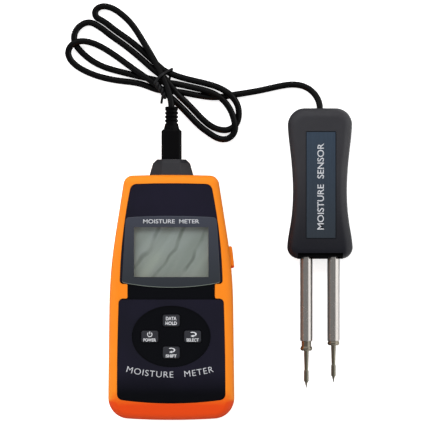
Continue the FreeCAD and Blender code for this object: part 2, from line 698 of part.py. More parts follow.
def keypad_mat():
    """Silicone mat with a hollow dome under every key."""
    base = rounded_slab(34, 26.5, 3.0, BOARD_TOP, BOARD_TOP + 1.0, 0, KEYPAD_CENTRE)
    top = DECK_UNDER - 1.1
    domes = []
    hollows = []
    for x, y in key_places().values():
        domes.append(Part.makeCone(3.3, 2.2, top - BOARD_TOP - 0.8, V(x, y, BOARD_TOP + 0.8), UP))
        hollows.append(Part.makeCone(2.7, 1.4, top - BOARD_TOP - 1.0, V(x, y, BOARD_TOP), UP))
    mat = joined([base] + domes)
    return mat.cut(hollows[0].multiFuse(hollows[1:]))


def cell_places():
    first = -CELL_PITCH * (CELL_COUNT - 1) / 2
    return [(first + CELL_PITCH * n, n % 2 == 0) for n in range(CELL_COUNT)]


def cell_span(button_up):
    """Low and high Y of one cell; the spring is at its flat end."""
    if button_up:
        return BAY_HIGH - CONTACT_THICK - CELL_LENGTH, BAY_HIGH - CONTACT_THICK
    return BAY_LOW + CONTACT_THICK, BAY_LOW + CONTACT_THICK + CELL_LENGTH


def battery_cells():
    cells = []
    button = 0.8
    for x, button_up in cell_places():
        low, high = cell_span(button_up)
        if button_up:
            can = bar(x, CELL_Z, CELL_RADIUS, low, high - button)
            nub = bar(x, CELL_Z, 1.9, high - button, high)
        else:
            can = bar(x, CELL_Z, CELL_RADIUS, low + button, high)
            nub = bar(x, CELL_Z, 1.9, low, low + button)
        rims = edges_across(can, can.BoundBox.YMin) + edges_across(can, can.BoundBox.YMax)
        cells.append(can.makeFillet(0.5, rims).fuse(nub).removeSplitter())
    return cells


def battery_springs():
    """One coil spring at the flat end of every cell."""
    wire = 0.35
    coil = 2.8
    turns = 3.5
    per_turn = 16
    rise = SPRING_ROOM - 2 * wire - 0.04
    count = int(turns * per_turn)
    springs = []
    for x, button_up in cell_places():
        low, high = cell_span(button_up)
        start = (low - SPRING_ROOM if button_up else high) + wire + 0.02
        stops = []
        for n in range(count + 1):
            angle = 2 * math.pi * n / per_turn
            stops.append((x + coil * math.cos(angle), start + rise * n / count, CELL_Z + coil * math.sin(angle)))
        springs.append(swept(stops, wire))
    return springs


def contact_tab_places():
    return [side * CELL_PITCH * 1.5 for side in (-1, 1)]


def battery_contacts():
    """Nickel plates: pairs bridged at the low end, the middle pair bridged at the high end."""
    z0 = CELL_Z - 4.2
    z1 = CELL_Z + 4.2
    half = CELL_PITCH / 2
    plates = []
    for side in (-1, 1):
        x0, x1 = sorted((side * 0.4, side * (2 * CELL_PITCH - 0.4)))
        plates.append(box(x0, x1, BAY_LOW, BAY_LOW + CONTACT_THICK, z0, z1))
    plates.append(box(-2 * half + 0.4, 2 * half - 0.4, BAY_HIGH - CONTACT_THICK, BAY_HIGH, z0, z1))
    for x in contact_tab_places():
        plate = box(x - half + 0.4, x + half - 0.4, BAY_HIGH - CONTACT_THICK, BAY_HIGH, z0, z1)
        tab = box(x - 1.0, x + 1.0, BAY_HIGH - CONTACT_THICK, BAY_HIGH, z1 - 0.2, BOARD_BOTTOM)
        plates.append(joined([plate, tab]))
    return plates


# ---- socket and plug ----
def probe_socket():
    """Round socket body behind the hood: a shroud, a core with two contact holes."""
    body = bar(0, AXIS_Z, SOCKET_ROOM - 0.05, 55.0, 68.9)
    room = bar(0, AXIS_Z, SHELL_RADIUS + 0.1, 60.4, 70).cut(bar(0, AXIS_Z, 3.2, 60, 66.8))
    body = body.cut(room)
    for side in (-1, 1):
        body = body.cut(bar(side * CONTACT_SPREAD, AXIS_Z, CONTACT_RADIUS, 54, 67))
    return body


def socket_contacts():
    tubes = []
    for side in (-1, 1):
        tube = bar(side * CONTACT_SPREAD, AXIS_Z, CONTACT_RADIUS, 53.5, 66.6)
        tubes.append(tube.cut(bar(side * CONTACT_SPREAD, AXIS_Z, PIN_RADIUS + RUNNING, 60.6, 67)))
    return tubes


def socket_wires():
    """Two wires from the contacts to the back of the board."""
    wires = []
    for side in (-1, 1):
        x = side * CONTACT_SPREAD
        route = [(x, 53.4, AXIS_Z), (x, 50.5, AXIS_Z), (1.6 * x, 47, 12.6), (2.6 * x, 43.2, 13.4)]
        route += [(2.8 * x, 41.8, 15.4), (2.8 * x, 41.6, BOARD_BOTTOM - 0.1)]
        wires.append(swept(route, WIRE_RADIUS))
    return wires


def plug_body():
    half = PLUG_WIDTH / 2
    half_z = PLUG_HEIGHT / 2
    body = box(-half, half, HOOD_END_Y + 0.1, PLUG_END_Y, AXIS_Z - half_z, AXIS_Z + half_z)
    long_edges = [e for e in body.Edges if abs(e.Vertexes[0].Point.y - e.Vertexes[1].Point.y) > 1]
    body = body.makeChamfer(1.3, long_edges)
    body = body.makeChamfer(0.9, edges_across(body, PLUG_END_Y))
    body = body.cut(bar(0, AXIS_Z, SHELL_RADIUS, 70, HOOD_END_Y + 3.0))
    return body.cut(bar(0, AXIS_Z, CABLE_BORE, 80, 90))


def plug_shell():
    tube = bar(0, AXIS_Z, SHELL_RADIUS, 61.0, HOOD_END_Y + 3.0)
    return tube.cut(bar(0, AXIS_Z, SHELL_RADIUS - 0.5, 60, 80))


def plug_core():
    """Insulator inside the shell that holds the two pins."""
    core = bar(0, AXIS_Z, SHELL_RADIUS - 0.5, 67.2, HOOD_END_Y + 3.0)
    for side in (-1, 1):
        core = core.cut(bar(side * CONTACT_SPREAD, AXIS_Z, PIN_RADIUS, 60, 80))
    return core


def plug_pins():
    pins = []
    for side in (-1, 1):
        pin = bar(side * CONTACT_SPREAD, AXIS_Z, PIN_RADIUS, 61.6, HOOD_END_Y + 3.0)
        pins.append(pin.makeChamfer(0.25, edges_across(pin, 61.6)))
    return pins


def strain_relief():
    """Tapered sleeve behind the plug with staggered slots so that it can bend."""
    start = PLUG_END_Y
    flare = tapered_bar(0, AXIS_Z, 4.1, 3.5, start, start + 2.2)
    sleeve = tapered_bar(0, AXIS_Z, 3.5, 3.3, start + 2.2, RELIEF_END_Y)
    sleeve = sleeve.makeFillet(0.4, edges_across(sleeve, RELIEF_END_Y))
    sleeve = joined([flare, sleeve])
    for n in range(4):
        y = start + 3.0 + 2.0 * n
        for side in (-1, 1):
            x0, x1 = sorted((side * 2.9, side * 5.0))
            sleeve = sleeve.cut(box(x0, x1, y, y + 0.9, AXIS_Z - 2.6, AXIS_Z + 2.6))
            z0, z1 = sorted((AXIS_Z + side * 2.5, AXIS_Z + side * 5.0))
            sleeve = sleeve.cut(box(-2.6, 2.6, y + 1.0, y + 1.9, z0, z1))
    return sleeve.cut(bar(0, AXIS_Z, CABLE_BORE, 80, 100))


# ---- lead ----
def cable_route():
    """Stops along the lead, plug to probe: three loops to the left of the tie, two to the right."""
    out_of_plug = [(0, 86, 13.5), (0, 92, 13.5), (0, 98.4, 13.5), (-0.8, 104, 13.6), (-2.4, 109, 13.4)]
    long_loop_left = [(-6, 117, 10), (-11, 126, 5), (-16, 134.5, 3), (-21, 142, 2), (-26.4, 147.3, 2)]
    long_loop_left += [(-31.8, 150.6, 2), (-36.6, 151.2, 2), (-39.6, 149.4, 2), (-40.2, 146.4, 2)]
    long_loop_left += [(-38.4, 144, 2), (-35, 142, 2), (-31, 139, 2), (-21.2, 132, 2), (-11, 123.2, 2)]
    inner_loop_right = [(-5.6, 118.4, 2), (0, 115.8, 2), (10, 112.8, 2), (20, 110.4, 2), (29.3, 106.0, 2)]
    inner_loop_right += [(34.2, 99.8, 2), (34.9, 94.4, 2), (33.2, 89.4, 2), (29.6, 87.0, 2), (25, 87.0, 2)]
    inner_loop_right += [(19.2, 89.4, 2), (10, 98.4, 2), (3, 105.4, 5)]
    middle_loop_left = [(-4, 113.6, 8), (-9.4, 119, 8), (-16, 124.8, 5), (-26.4, 133.3, 5), (-34, 138.8, 5)]
    middle_loop_left += [(-39.4, 142.6, 5), (-43.5, 143.2, 5), (-47.6, 141.4, 5), (-50.6, 137.4, 5)]
    middle_loop_left += [(-50.8, 133, 5), (-47.6, 128, 5), (-42, 123.2, 5), (-36, 120, 5)]
    middle_loop_left += [(-26, 117, 5), (-16, 114.6, 5)]
    outer_loop_right = [(-6, 112.6, 5), (5, 110.4, 5), (15, 108, 5), (24, 104.4, 5), (30, 98.1, 5)]
    outer_loop_right += [(32.6, 91, 5), (32.6, 86, 5), (29.3, 82.4, 5), (25, 82.2, 5), (20.4, 84.6, 5)]
    outer_loop_right += [(12.4, 91.4, 5), (4, 99.8, 5), (-3, 106, 8)]
    low_loop_left = [(-9, 111, 11), (-15, 115, 8), (-22.3, 120.3, 8), (-31.6, 127, 8), (-40, 131.6, 8)]
    low_loop_left += [(-47, 133, 8), (-52.2, 131, 8), (-54, 126.6, 8), (-51.6, 122, 8), (-46, 118, 8)]
    low_loop_left += [(-36, 114.2, 8), (-26.4, 112.4, 8), (-16, 110.8, 8)]
    tail = [(-7, 107.6, 5), (3, 106.6, 2), (13, 105, 2), (22.8, 104, 2), (33.5, 105.3, 2)]
    tail += [(46.6, 107.6, 2), (56.3, 109.7, 2.4), (64, 110.5, 3.4), (70.4, 108.8, 5), (74.8, 104.8, 7.4)]
    tail += [(76.7, 100.6, 8.8), (PROBE_X, 97.6, ROD_Z), (PROBE_X, 93, ROD_Z), (PROBE_X, 88, ROD_Z)]
    route = out_of_plug + long_loop_left + inner_loop_right + middle_loop_left
    return route + outer_loop_right + low_loop_left + tail


def close_pairs(points, reach, skip):
    """Pairs of points nearer than reach in plan that are at least skip points apart along the lead."""
    pairs = []
    for i in range(len(points)):
        for j in range(i + skip, len(points)):
            if math.hypot(points[i][0] - points[j][0], points[i][1] - points[j][1]) < reach:
                pairs.append((i, j))
    return pairs


def push_apart(laid, pairs, held):
    """Moves two strands that are too close away from each other."""
    apart = 2 * CABLE_RADIUS + STRAND_GAP
    firmness = 0.6
    for i, j in pairs:
        a, b = laid[i], laid[j]
        d = [b[k] - a[k] for k in range(3)]
        size = math.sqrt(d[0] ** 2 + d[1] ** 2 + d[2] ** 2)
        free_i = 0.0 if i in held else 1.0
        free_j = 0.0 if j in held else 1.0
        if size >= apart or size < 1e-6 or free_i + free_j == 0:
            continue
        push = firmness * (apart - size) / size / (free_i + free_j)
        for k in range(3):
            a[k] -= push * d[k] * free_i
            b[k] += push * d[k] * free_j


def smooth_and_rest(laid, wanted, held):
    """Evens out sharp moves along the lead and keeps it above the table and off the plug."""
    count = len(laid)
    stiffness = 0.35
    shift = [[laid[i][k] - wanted[i][k] for k in range(3)] for i in range(count)]
    for i in range(1, count - 1):
        if i in held:
            continue
        for k in (0, 1):
            mean = (shift[i - 1][k] + shift[i + 1][k]) / 2
            laid[i][k] += stiffness * (mean - shift[i][k])
        mean_z = (laid[i - 1][2] + laid[i + 1][2]) / 2
        laid[i][2] += stiffness * (mean_z - laid[i][2])
        keep_clear_of_plug(laid[i])
        laid[i][2] = max(laid[i][2], resting_height(laid[i]))


def lay_cable():
    """Settles the lead on the table: strands push each other apart, sink and stay near their route."""
    curve = Part.BSplineCurve()
    curve.interpolate([V(*p) for p in cable_route()])
    laid = [[p.x, p.y, p.z] for p in curve.toShape().discretize(Distance=LAY_STEP)]
    wanted = [list(p) for p in laid]
    count = len(laid)
    held = set(range(HELD_AT_PLUG)) | set(range(count - HELD_AT_PROBE, count))
    pairs = close_pairs(laid, 9.0, 6)
    rounds = 420
    calm_rounds = 120
    sink = 0.03
    hold_to_route = 0.03
    for turn in range(rounds):
        for i in range(count):
            if i in held:
                continue
            if turn < rounds - calm_rounds:
                laid[i][2] -= sink
            for k in (0, 1):
                laid[i][k] += hold_to_route * (wanted[i][k] - laid[i][k])
        push_apart(laid, pairs, held)
        smooth_and_rest(laid, wanted, held)
    return laid


def resting_height(p):
    """Lowest centre height of the lead: on the table, a little higher where the tie runs beneath it."""
    foot, head = TIE_RUN[0], TIE_RUN[-1]
    run_x = head[0] - foot[0]
    run_y = head[1] - foot[1]
    off_tie = abs((p[0] - foot[0]) * run_y - (p[1] - foot[1]) * run_x) / math.hypot(run_x, run_y)
    lift = max(0.0, 1.0 - max(off_tie - 1.5, 0.0) / 14.0) * (2 * TIE_RADIUS + 0.15)
    return CABLE_RADIUS + 0.15 + lift


def keep_clear_of_plug(p):
    """Moves a point of the lead out of the space of the strain relief."""
    relief_room = 3.6
    room = relief_room + CABLE_RADIUS
    off_axis = math.hypot(p[0], p[2] - AXIS_Z)
    if p[1] < RELIEF_END_Y + 1.0 and off_axis < room:
        scale = room / max(off_axis, 0.1)
        p[0] *= scale
        p[2] = AXIS_Z + (p[2] - AXIS_Z) * scale


def cable(laid):
    last = laid[-1]
    stops = laid[:-1:2]
    if math.dist(stops[-1], last) < LAY_STEP:
        stops = stops[:-1]
    return swept(stops + [last], CABLE_RADIUS)


def hull(points):
    """Outer ring of a set of flat points, anticlockwise."""
    points = sorted(points)

    def chain(source):
        kept = []
        for p in source:
            while len(kept) > 1 and turn_of(kept[-2], kept[-1], p) <= 0:
                kept.pop()
            kept.append(p)
        return kept[:-1]

    return chain(points) + chain(list(reversed(points)))


def turn_of(a, b, c):
    return (b[0] - a[0]) * (c[1] - a[1]) - (b[1] - a[1]) * (c[0] - a[0])


def tie_section(laid, run):
    """Outline of the strands the tie goes round, as (distance along its run, height)."""
    reach = CABLE_RADIUS + TIE_RADIUS + 0.3
    around = []
    for x, y, z in laid:
        flat = V(x, y, 0)
        near = min(range(len(run)), key=lambda n: run[n].distanceToPoint(flat))
        if run[near].distanceToPoint(flat) < 1.6:
            for n in range(24):
                angle = 2 * math.pi * n / 24
                along = near * TIE_STEP + reach * math.cos(angle)
                around.append((along, max(z + reach * math.sin(angle), TIE_RADIUS + 0.3)))
    return hull(around)


def place_on_run(run, along):
    """Point of the tie's run seen from above, and the direction of the run there."""
    n = min(max(along / TIE_STEP, 0.0), len(run) - 1.001)
    low = int(n)
    heading = run[low + 1] - run[low]
    point = run[low] + heading * (n - low)
    heading.normalize()
    return point, heading


def tie_stops(laid, run):
    """Stops of one turn of the tie, over the bundle and back under it: (place, heading, distance)."""
    section = tie_section(laid, run)
    outline = Part.makePolygon([V(u, z, 0) for u, z in section + section[:1]])
    ring = outline.discretize(Distance=0.8)[:-1]
    ring.reverse()
    first = min(range(len(ring)), key=lambda n: ring[n].x)
    ring = ring[first:] + ring[:first]
    low, high = ring[0].x, max(p.x for p in ring)
    start = place_on_run(run, low)[0]
    finish = place_on_run(run, high)[0]
    stops = []
    for p in ring:
        over, heading = place_on_run(run, p.x)
        under = start + (finish - start) * ((p.x - low) / (high - low))
        share = min(max((p.y - 1.0) / 3.0, 0.0), 1.0)
        stops.append((under * (1 - share) + over * share + UP * p.y, heading, p.x - low))
    return stops


def cable_tie(laid):
    """Wire tie: one turn round the bundle, its two ends twisted together along the lower side."""
    curve = Part.BSplineCurve()
    curve.interpolate([V(x, y, 0) for x, y in TIE_RUN])
    run = curve.toShape().discretize(Distance=TIE_STEP)
    stops = tie_stops(laid, run)
    highest = max(range(len(stops)), key=lambda n: stops[n][2])
    twisted = [stop for stop in stops[:highest] if stop[2] < TIE_TWIST_LENGTH]
    sway = TIE_RADIUS + 0.1
    strands = []
    for phase in (0, math.pi):
        strand = []
        for place, heading, along in twisted:
            angle = phase + 2 * math.pi * along / TIE_TWIST_PITCH
            side = V(-heading.y, heading.x, 0)
            strand.append(place + side * (sway * math.cos(angle)) + UP * (sway * (1 + math.sin(angle))))
        strands.append(strand)
    out = strands[0][0] - twisted[0][1]
    tail = [out - twisted[0][1] * (1.1 * n) - UP * (0.3 * n) for n in (2, 1, 0)]
    plain = [place for place, heading, along in stops[len(twisted) + 1:]]
    return swept(tail + strands[0] + plain + strands[1], TIE_RADIUS, 0.7)


# ---- probe ----
def handle_outline(inset, z0, z1):
    """Waisted handle seen from above, drawn in by an inset."""
    top_y = HANDLE_TOP - inset
    low_y = HANDLE_BOTTOM + inset
    side = [(16.2, top_y), (16.6, 90.0), (15.3, 76.0), (13.9, 57.0), (15.1, 38.3), (16.9, 25.5), (16.6, low_y)]
    side = [(x - inset, y) for x, y in side]
    right = Part.BSplineCurve()
    right.interpolate([V(PROBE_X + x, y, 0) for x, y in side])
    left = Part.BSplineCurve()
    left.interpolate([V(PROBE_X - x, y, 0) for x, y in reversed(side)])
    top = Part.LineSegment(V(PROBE_X - side[0][0], top_y, 0), V(PROBE_X + side[0][0], top_y, 0)).toShape()
    low = Part.LineSegment(V(PROBE_X + side[-1][0], low_y, 0), V(PROBE_X - side[-1][0], low_y, 0)).toShape()
    solid = lifted(Part.Face(Part.Wire([top, right.toShape(), low, left.toShape()])), z0, z1)
    top_corners = [(PROBE_X + sign * side[0][0], top_y) for sign in (-1, 1)]
    low_corners = [(PROBE_X + sign * side[-1][0], low_y) for sign in (-1, 1)]
    solid = round_uprights(solid, top_corners, 8.5 - inset)
    return round_uprights(solid, low_corners, 6.0 - inset)


def handle_block():
    block = handle_outline(0, 0, HANDLE_DEPTH)
    block = block.makeFillet(HANDLE_FRONT_ROUND, edges_at_height(block, HANDLE_DEPTH))
    return block.makeFillet(HANDLE_BACK_ROUND, edges_at_height(block, 0))


def rod_places():
    return [PROBE_X - ROD_SPACING / 2, PROBE_X + ROD_SPACING / 2]


def handle_screw_places():
    return [(PROBE_X + side * x, y) for x, y in HANDLE_SCREWS for side in (-1, 1)]


def handle_half(block, room, z0, z1):
    """One shell of the handle, hollowed, with screw bosses and openings for cable and rod guide."""
    shell = block.common(box(40, 120, 0, 120, z0, z1)).cut(room)
    bosses = []
    for x, y in handle_screw_places():
        bosses.append(post(x, y, HANDLE_BOSS, max(z0, 1.0), min(z1, HANDLE_DEPTH - 1.0)))
    shell = joined([shell] + bosses)
    shell = shell.cut(bar(PROBE_X, ROD_Z, GROMMET_RADIUS, 94, 99))
    return shell.cut(rod_guide_ledge(RUNNING, HANDLE_DEPTH + 1))


def handle_front(block, room):
    shell = handle_half(block, room, HANDLE_SPLIT, HANDLE_DEPTH + 1)
    pocket = rounded_slab(LABEL_WIDTH + 0.2, LABEL_LENGTH + 0.2, 0.7, HANDLE_DEPTH - 0.8, 30,
                          PROBE_X + 0.3, LABEL_CENTRE)
    shell = shell.cut(pocket)
    for x, y in handle_screw_places():
        shell = shell.cut(post(x, y, 1.1, HANDLE_SPLIT - 1, 15.2))
    return shell


def handle_rear(block, room):
    shell = handle_half(block, room, -1, HANDLE_SPLIT)
    for x, y in handle_screw_places():
        shell = shell.cut(post(x, y, 2.4, -1, 2.8)).cut(post(x, y, 1.2, 0, 10))
    return shell


def handle_screws():
    return [screw_from_back(x, y, 1.2, 2.2, 1.6, 1.1, 14.6) for x, y in handle_screw_places()]


def handle_label():
    label = rounded_slab(LABEL_WIDTH, LABEL_LENGTH, 0.6, HANDLE_DEPTH - 0.8, HANDLE_DEPTH - 0.25,
                         PROBE_X + 0.3, LABEL_CENTRE)
    return label.makeChamfer(0.15, edges_at_height(label, HANDLE_DEPTH - 0.25))


def rod_guide_ledge(grow, top):
    """Part of the rod guide that lies in the notch at the lower end of the handle."""
    half = GUIDE_HALF + grow
    low = ROD_Z - GUIDE_REACH - grow
    return box(PROBE_X - half, PROBE_X + half, HANDLE_BOTTOM - 0.1, NOTCH_TOP + grow, low, top)


def rod_guide():
    """Insert in the lower end of the handle: a strip round the rods, a groove and a wall behind them."""
    ledge = rod_guide_ledge(0, ROD_Z + GUIDE_FACE)
    strip = box(PROBE_X - GUIDE_HALF, PROBE_X + GUIDE_HALF, HANDLE_BOTTOM - 0.1, HANDLE_BOTTOM + GUIDE_LENGTH,
                ROD_Z, ROD_Z + GUIDE_STRIP)
    wall = box(PROBE_X - GUIDE_HALF, PROBE_X + GUIDE_HALF, NOTCH_TOP, NOTCH_TOP + 2.0,
               HANDLE_WALL + 0.1, HANDLE_DEPTH - HANDLE_WALL - 0.1)
    guide = joined([ledge, strip, wall])
    lowest = [e for e in edges_across(guide, HANDLE_BOTTOM - 0.1) if e.BoundBox.ZLength < 0.01]
    guide = guide.makeChamfer(0.5, lowest)
    for x in rod_places():
        guide = guide.cut(bar(x, ROD_Z, ROD_RADIUS, 10, 30))
        half = ROD_RADIUS + 0.2
        guide = guide.cut(box(x - half, x + half, HANDLE_BOTTOM - 1, HANDLE_BOTTOM + 0.9, ROD_Z, HANDLE_DEPTH))
    return guide


def rod_block():
    """Insulating block inside the handle that grips the rods."""
    block = box(PROBE_X - 11.4, PROBE_X + 11.4, NOTCH_TOP + 2.2, 43.0,
                HANDLE_WALL + 0.1, HANDLE_DEPTH - HANDLE_WALL - 0.1)
    for x in rod_places():
        block = block.cut(bar(x, ROD_Z, ROD_RADIUS, 20, 50))
    return block


def electrode_rod(x):
    """Steel rod with a threaded hole for the collar and room for the needle head behind it."""
    rod = bar(x, ROD_Z, ROD_RADIUS, ROD_END_Y, ROD_INNER_Y)
    rod = rod.makeChamfer(0.25, edges_across(rod, ROD_END_Y))
    return rod.cut(bar(x, ROD_Z, THREAD_RADIUS + RUNNING, ROD_END_Y - 1, ROD_END_Y + COLLAR_SHANK + 4.0))


def needle_collar(x, out):
    """Threaded collar that clamps the needle; its flange has a double taper."""
    end = ROD_END_Y - out
    shank = bar(x, ROD_Z, THREAD_RADIUS, end, end + COLLAR_SHANK)
    shank = shank.makeChamfer(0.3, edges_across(shank, end + COLLAR_SHANK))
    neck = tapered_bar(x, ROD_Z, COLLAR_RADIUS, THREAD_RADIUS + 0.25, end - 0.9, end)
    rim = bar(x, ROD_Z, COLLAR_RADIUS, end - 1.5, end - 0.9)
    nose = tapered_bar(x, ROD_Z, THREAD_RADIUS, COLLAR_RADIUS, end - COLLAR_FLANGE, end - 1.5)
    collar = joined([shank, neck, rim, nose])
    return collar.cut(bar(x, ROD_Z, NEEDLE_RADIUS + RUNNING, end - 5, end + COLLAR_SHANK + 1))


def needle(x, out):
    """Steel needle: head behind the collar, slim shank, thicker gripping part, shoulder and point."""
    end = ROD_END_Y - out
    seat = end + COLLAR_SHANK
    tip = end - COLLAR_FLANGE - NEEDLE_OUT
    head = bar(x, ROD_Z, 2.0, seat, seat + 2.0)
    shank = bar(x, ROD_Z, NEEDLE_RADIUS, end - COLLAR_FLANGE - 1.2, seat)
    slim = tapered_bar(x, ROD_Z, 1.0, NEEDLE_RADIUS, tip + 9.6, end - COLLAR_FLANGE - 1.2)
    thick = bar(x, ROD_Z, NEEDLE_RADIUS, tip + 3.9, tip + 9.0)
    step_up = tapered_bar(x, ROD_Z, NEEDLE_RADIUS, 1.0, tip + 9.0, tip + 9.6)
    shoulder = tapered_bar(x, ROD_Z, 0.7, NEEDLE_RADIUS, tip + 3.1, tip + 3.9)
    point = tapered_bar(x, ROD_Z, 0.08, 0.7, tip, tip + 3.1)
    return joined([head, shank, slim, step_up, thick, shoulder, point])


def rod_terminals():
    """Ring terminals clipped round the inner ends of the rods."""
    rings = []
    for x in rod_places():
        ring = bar(x, ROD_Z, ROD_RADIUS + 0.8, 43.6, 45.6).cut(bar(x, ROD_Z, ROD_RADIUS, 43, 47))
        side = 1 if x < PROBE_X else -1
        x0, x1 = sorted((x + side * (ROD_RADIUS + 0.4), x + side * (ROD_RADIUS + 2.6)))
        rings.append(joined([ring, box(x0, x1, 43.9, 45.3, ROD_Z - 1.2, ROD_Z + 1.2)]))
    return rings


def handle_wires():
    """Two wires from the end of the lead to the rod terminals."""
    wires = []
    for side in (-1, 1):
        x = PROBE_X + side * 0.75
        inner = PROBE_X + side * (ROD_SPACING / 2 - ROD_RADIUS - 1.5)
        route = [(x, 87.7, ROD_Z), (x, 84, ROD_Z), (PROBE_X + side * 4.4, 72, ROD_Z + 1.5)]
        route += [(PROBE_X + side * 3.4, 58, ROD_Z), (inner, 50, ROD_Z), (inner, 45.32, ROD_Z)]
        wires.append(swept(route, WIRE_RADIUS))
    return wires


def cable_grommet():
    """Sleeve in the top wall of the handle that grips the lead."""
    sleeve = bar(PROBE_X, ROD_Z, GROMMET_RADIUS, HANDLE_TOP - 3.0, HANDLE_TOP - 0.4)
    collar = bar(PROBE_X, ROD_Z, 4.0, HANDLE_TOP - 4.6, HANDLE_TOP - HANDLE_WALL - 0.1)
    grommet = joined([sleeve, collar])
    return grommet.cut(bar(PROBE_X, ROD_Z, CABLE_BORE, 80, 100))


# ---- build and export ----
def save(name, shape):
    if isinstance(shape, list):
        shape = Part.makeCompound(shape)
    shape.exportStep("parts/" + name + ".step")


def save_meter():
    outline = case_outline()
    block = case_block(outline)
    save("front_bezel", front_bezel(outline, block))
    save("rear_cover", rear_cover(outline, block))
    save("battery_door", battery_door(block))
    save("case_screws", case_screws())
    save("face_panel", face_panel())
    save("display_lens", display_lens())
    for name, place in key_places().items():
        save(name, key(*place))
    save("side_button", side_button())
    save("side_switch", side_switch())
    save("switch_plunger", switch_plunger())
    save("lcd_glass", lcd_glass())
    save("lcd_holder", lcd_holder())
    save("zebra_strips", zebra_strips())
    save("main_board", main_board())
    save("board_screws", board_screws())
    save("controller_chip", controller_chip())
    save("board_components", board_components())
    save("keypad_mat", keypad_mat())
    save("battery_cells", battery_cells())
    save("battery_springs", battery_springs())
    save("battery_contacts", battery_contacts())
    save("socket_hood", socket_hood())
    save("probe_socket", probe_socket())
    save("socket_contacts", socket_contacts())
    save("socket_wires", socket_wires())


def save_lead():
    laid = lay_cable()
    save("cable", cable(laid))
    save("cable_tie", cable_tie(laid))
    save("plug_body", plug_body())
    save("plug_shell", plug_shell())
    save("plug_core", plug_core())
    save("plug_pins", plug_pins())
    save("strain_relief", strain_relief())


def save_probe():
    block = handle_block()
    room = handle_outline(HANDLE_WALL, HANDLE_WALL, HANDLE_DEPTH - HANDLE_WALL)
    save("handle_front", handle_front(block, room))
    save("handle_rear", handle_rear(block, room))
    save("handle_screws", handle_screws())
    save("handle_label", handle_label())
    save("rod_guide", rod_guide())
    save("rod_block", rod_block())
    save("rod_terminals", rod_terminals())
    save("handle_wires", handle_wires())
    save("cable_grommet", cable_grommet())
    for name, x, out in zip(("left", "right"), rod_places(), (LEFT_UNSCREWED, 0.0)):
        save(name + "_rod", electrode_rod(x))
        save(name + "_collar", needle_collar(x, out))
        save(name + "_needle", needle(x, out))


os.makedirs("parts", exist_ok=True)
save_meter()
save_lead()
save_probe()
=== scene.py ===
import json
import math

import bmesh
import bpy
from mathutils import Matrix, Vector


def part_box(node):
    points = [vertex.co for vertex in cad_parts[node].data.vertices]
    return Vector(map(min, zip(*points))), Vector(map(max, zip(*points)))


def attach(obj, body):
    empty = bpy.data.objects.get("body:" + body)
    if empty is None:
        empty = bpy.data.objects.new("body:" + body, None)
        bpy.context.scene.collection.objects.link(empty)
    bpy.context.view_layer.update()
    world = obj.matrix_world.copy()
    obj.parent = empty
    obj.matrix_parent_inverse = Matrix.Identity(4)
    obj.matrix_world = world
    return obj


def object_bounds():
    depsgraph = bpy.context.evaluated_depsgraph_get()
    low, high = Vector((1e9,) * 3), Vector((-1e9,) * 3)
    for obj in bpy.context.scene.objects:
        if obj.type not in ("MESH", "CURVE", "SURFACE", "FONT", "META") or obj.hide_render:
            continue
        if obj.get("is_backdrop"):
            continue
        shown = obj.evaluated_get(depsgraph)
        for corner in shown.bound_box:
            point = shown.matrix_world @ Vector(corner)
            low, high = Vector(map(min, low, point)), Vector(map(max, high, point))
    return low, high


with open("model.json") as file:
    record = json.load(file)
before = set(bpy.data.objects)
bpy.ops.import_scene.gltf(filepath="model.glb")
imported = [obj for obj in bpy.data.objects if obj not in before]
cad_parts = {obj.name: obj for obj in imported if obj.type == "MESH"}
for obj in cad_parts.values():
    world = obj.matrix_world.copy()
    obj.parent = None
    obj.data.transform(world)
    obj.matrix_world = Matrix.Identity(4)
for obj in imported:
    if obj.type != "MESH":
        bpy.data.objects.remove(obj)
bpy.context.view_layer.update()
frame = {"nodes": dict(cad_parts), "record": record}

MM = 0.001
NODES = frame["nodes"]

# ---- colours of the surfaces, as sRGB values from 0 to 255 ----
ORANGE_DARK = (246, 133, 20)
ORANGE_LIGHT = (250, 140, 27)
# painted shade: deep red-orange for the case's faces that slope away from the light towards the lower end
ORANGE_PAINTED_SHADE = (236, 72, 2)
NAVY = (22, 22, 32)
NAVY_WARM = (27, 25, 40)
# painted shade towards the panel's lower end, where it curves away from the light
NAVY_FOOT_SHADE = (0, 1, 4)
# painted shade in the panel's recesses: the oval round the keys and the waist
NAVY_RECESS_SHADE = (5, 6, 11)
# painted shade at the lens border's lower end
LENS_LOW_SHADE = (44, 48, 53)
LENS_TOP = (60, 63, 74)
# painted highlight on the lens's lower lip
LENS_LIP_HIGHLIGHT = (138, 148, 140)
SCREEN_SHADE = (158, 163, 158)
SCREEN_WARM = (180, 183, 175)
SCREEN_COOL = (175, 179, 181)
SCREEN_CREASE = (124, 128, 124)
MASK_GREEN = (16, 84, 46)
MASK_DARK = (14, 78, 42)
TRACK_GREEN = (30, 116, 66)
SLEEVE_BLUE = (20, 40, 96)
SLEEVE_GOLD = (176, 130, 52)
KEY_GREY = (44, 45, 51)
PRINT_WHITE = (226, 227, 231)
PRINT_GREY = (206, 208, 213)
CABLE_BLACK = (3, 3, 3)
CABLE_RUBBED = (6, 6, 7)
HANDLE_GREY = (45, 44, 48)
HANDLE_PALE = (50, 50, 54)
# painted shade on the handle towards the rods
HANDLE_LOW_SHADE = (12, 13, 22)
LABEL_TOP = (50, 64, 80)
# painted shade at the label's end near the rods
LABEL_LOW_SHADE = (44, 51, 59)
LABEL_MARK = (30, 36, 42)
# painted shadow line round the label's edge in its recess
LABEL_RIM_SHADOW = (20, 24, 30)
ROD_BRIGHT = (222, 217, 212)
ROD_MARK = (204, 199, 194)
# painted dark reflection on the rods' side that faces the case
ROD_SIDE_REFLECTION = (126, 124, 122)
# painted shade at the rods' edges
ROD_EDGE_SHADE = (96, 95, 96)

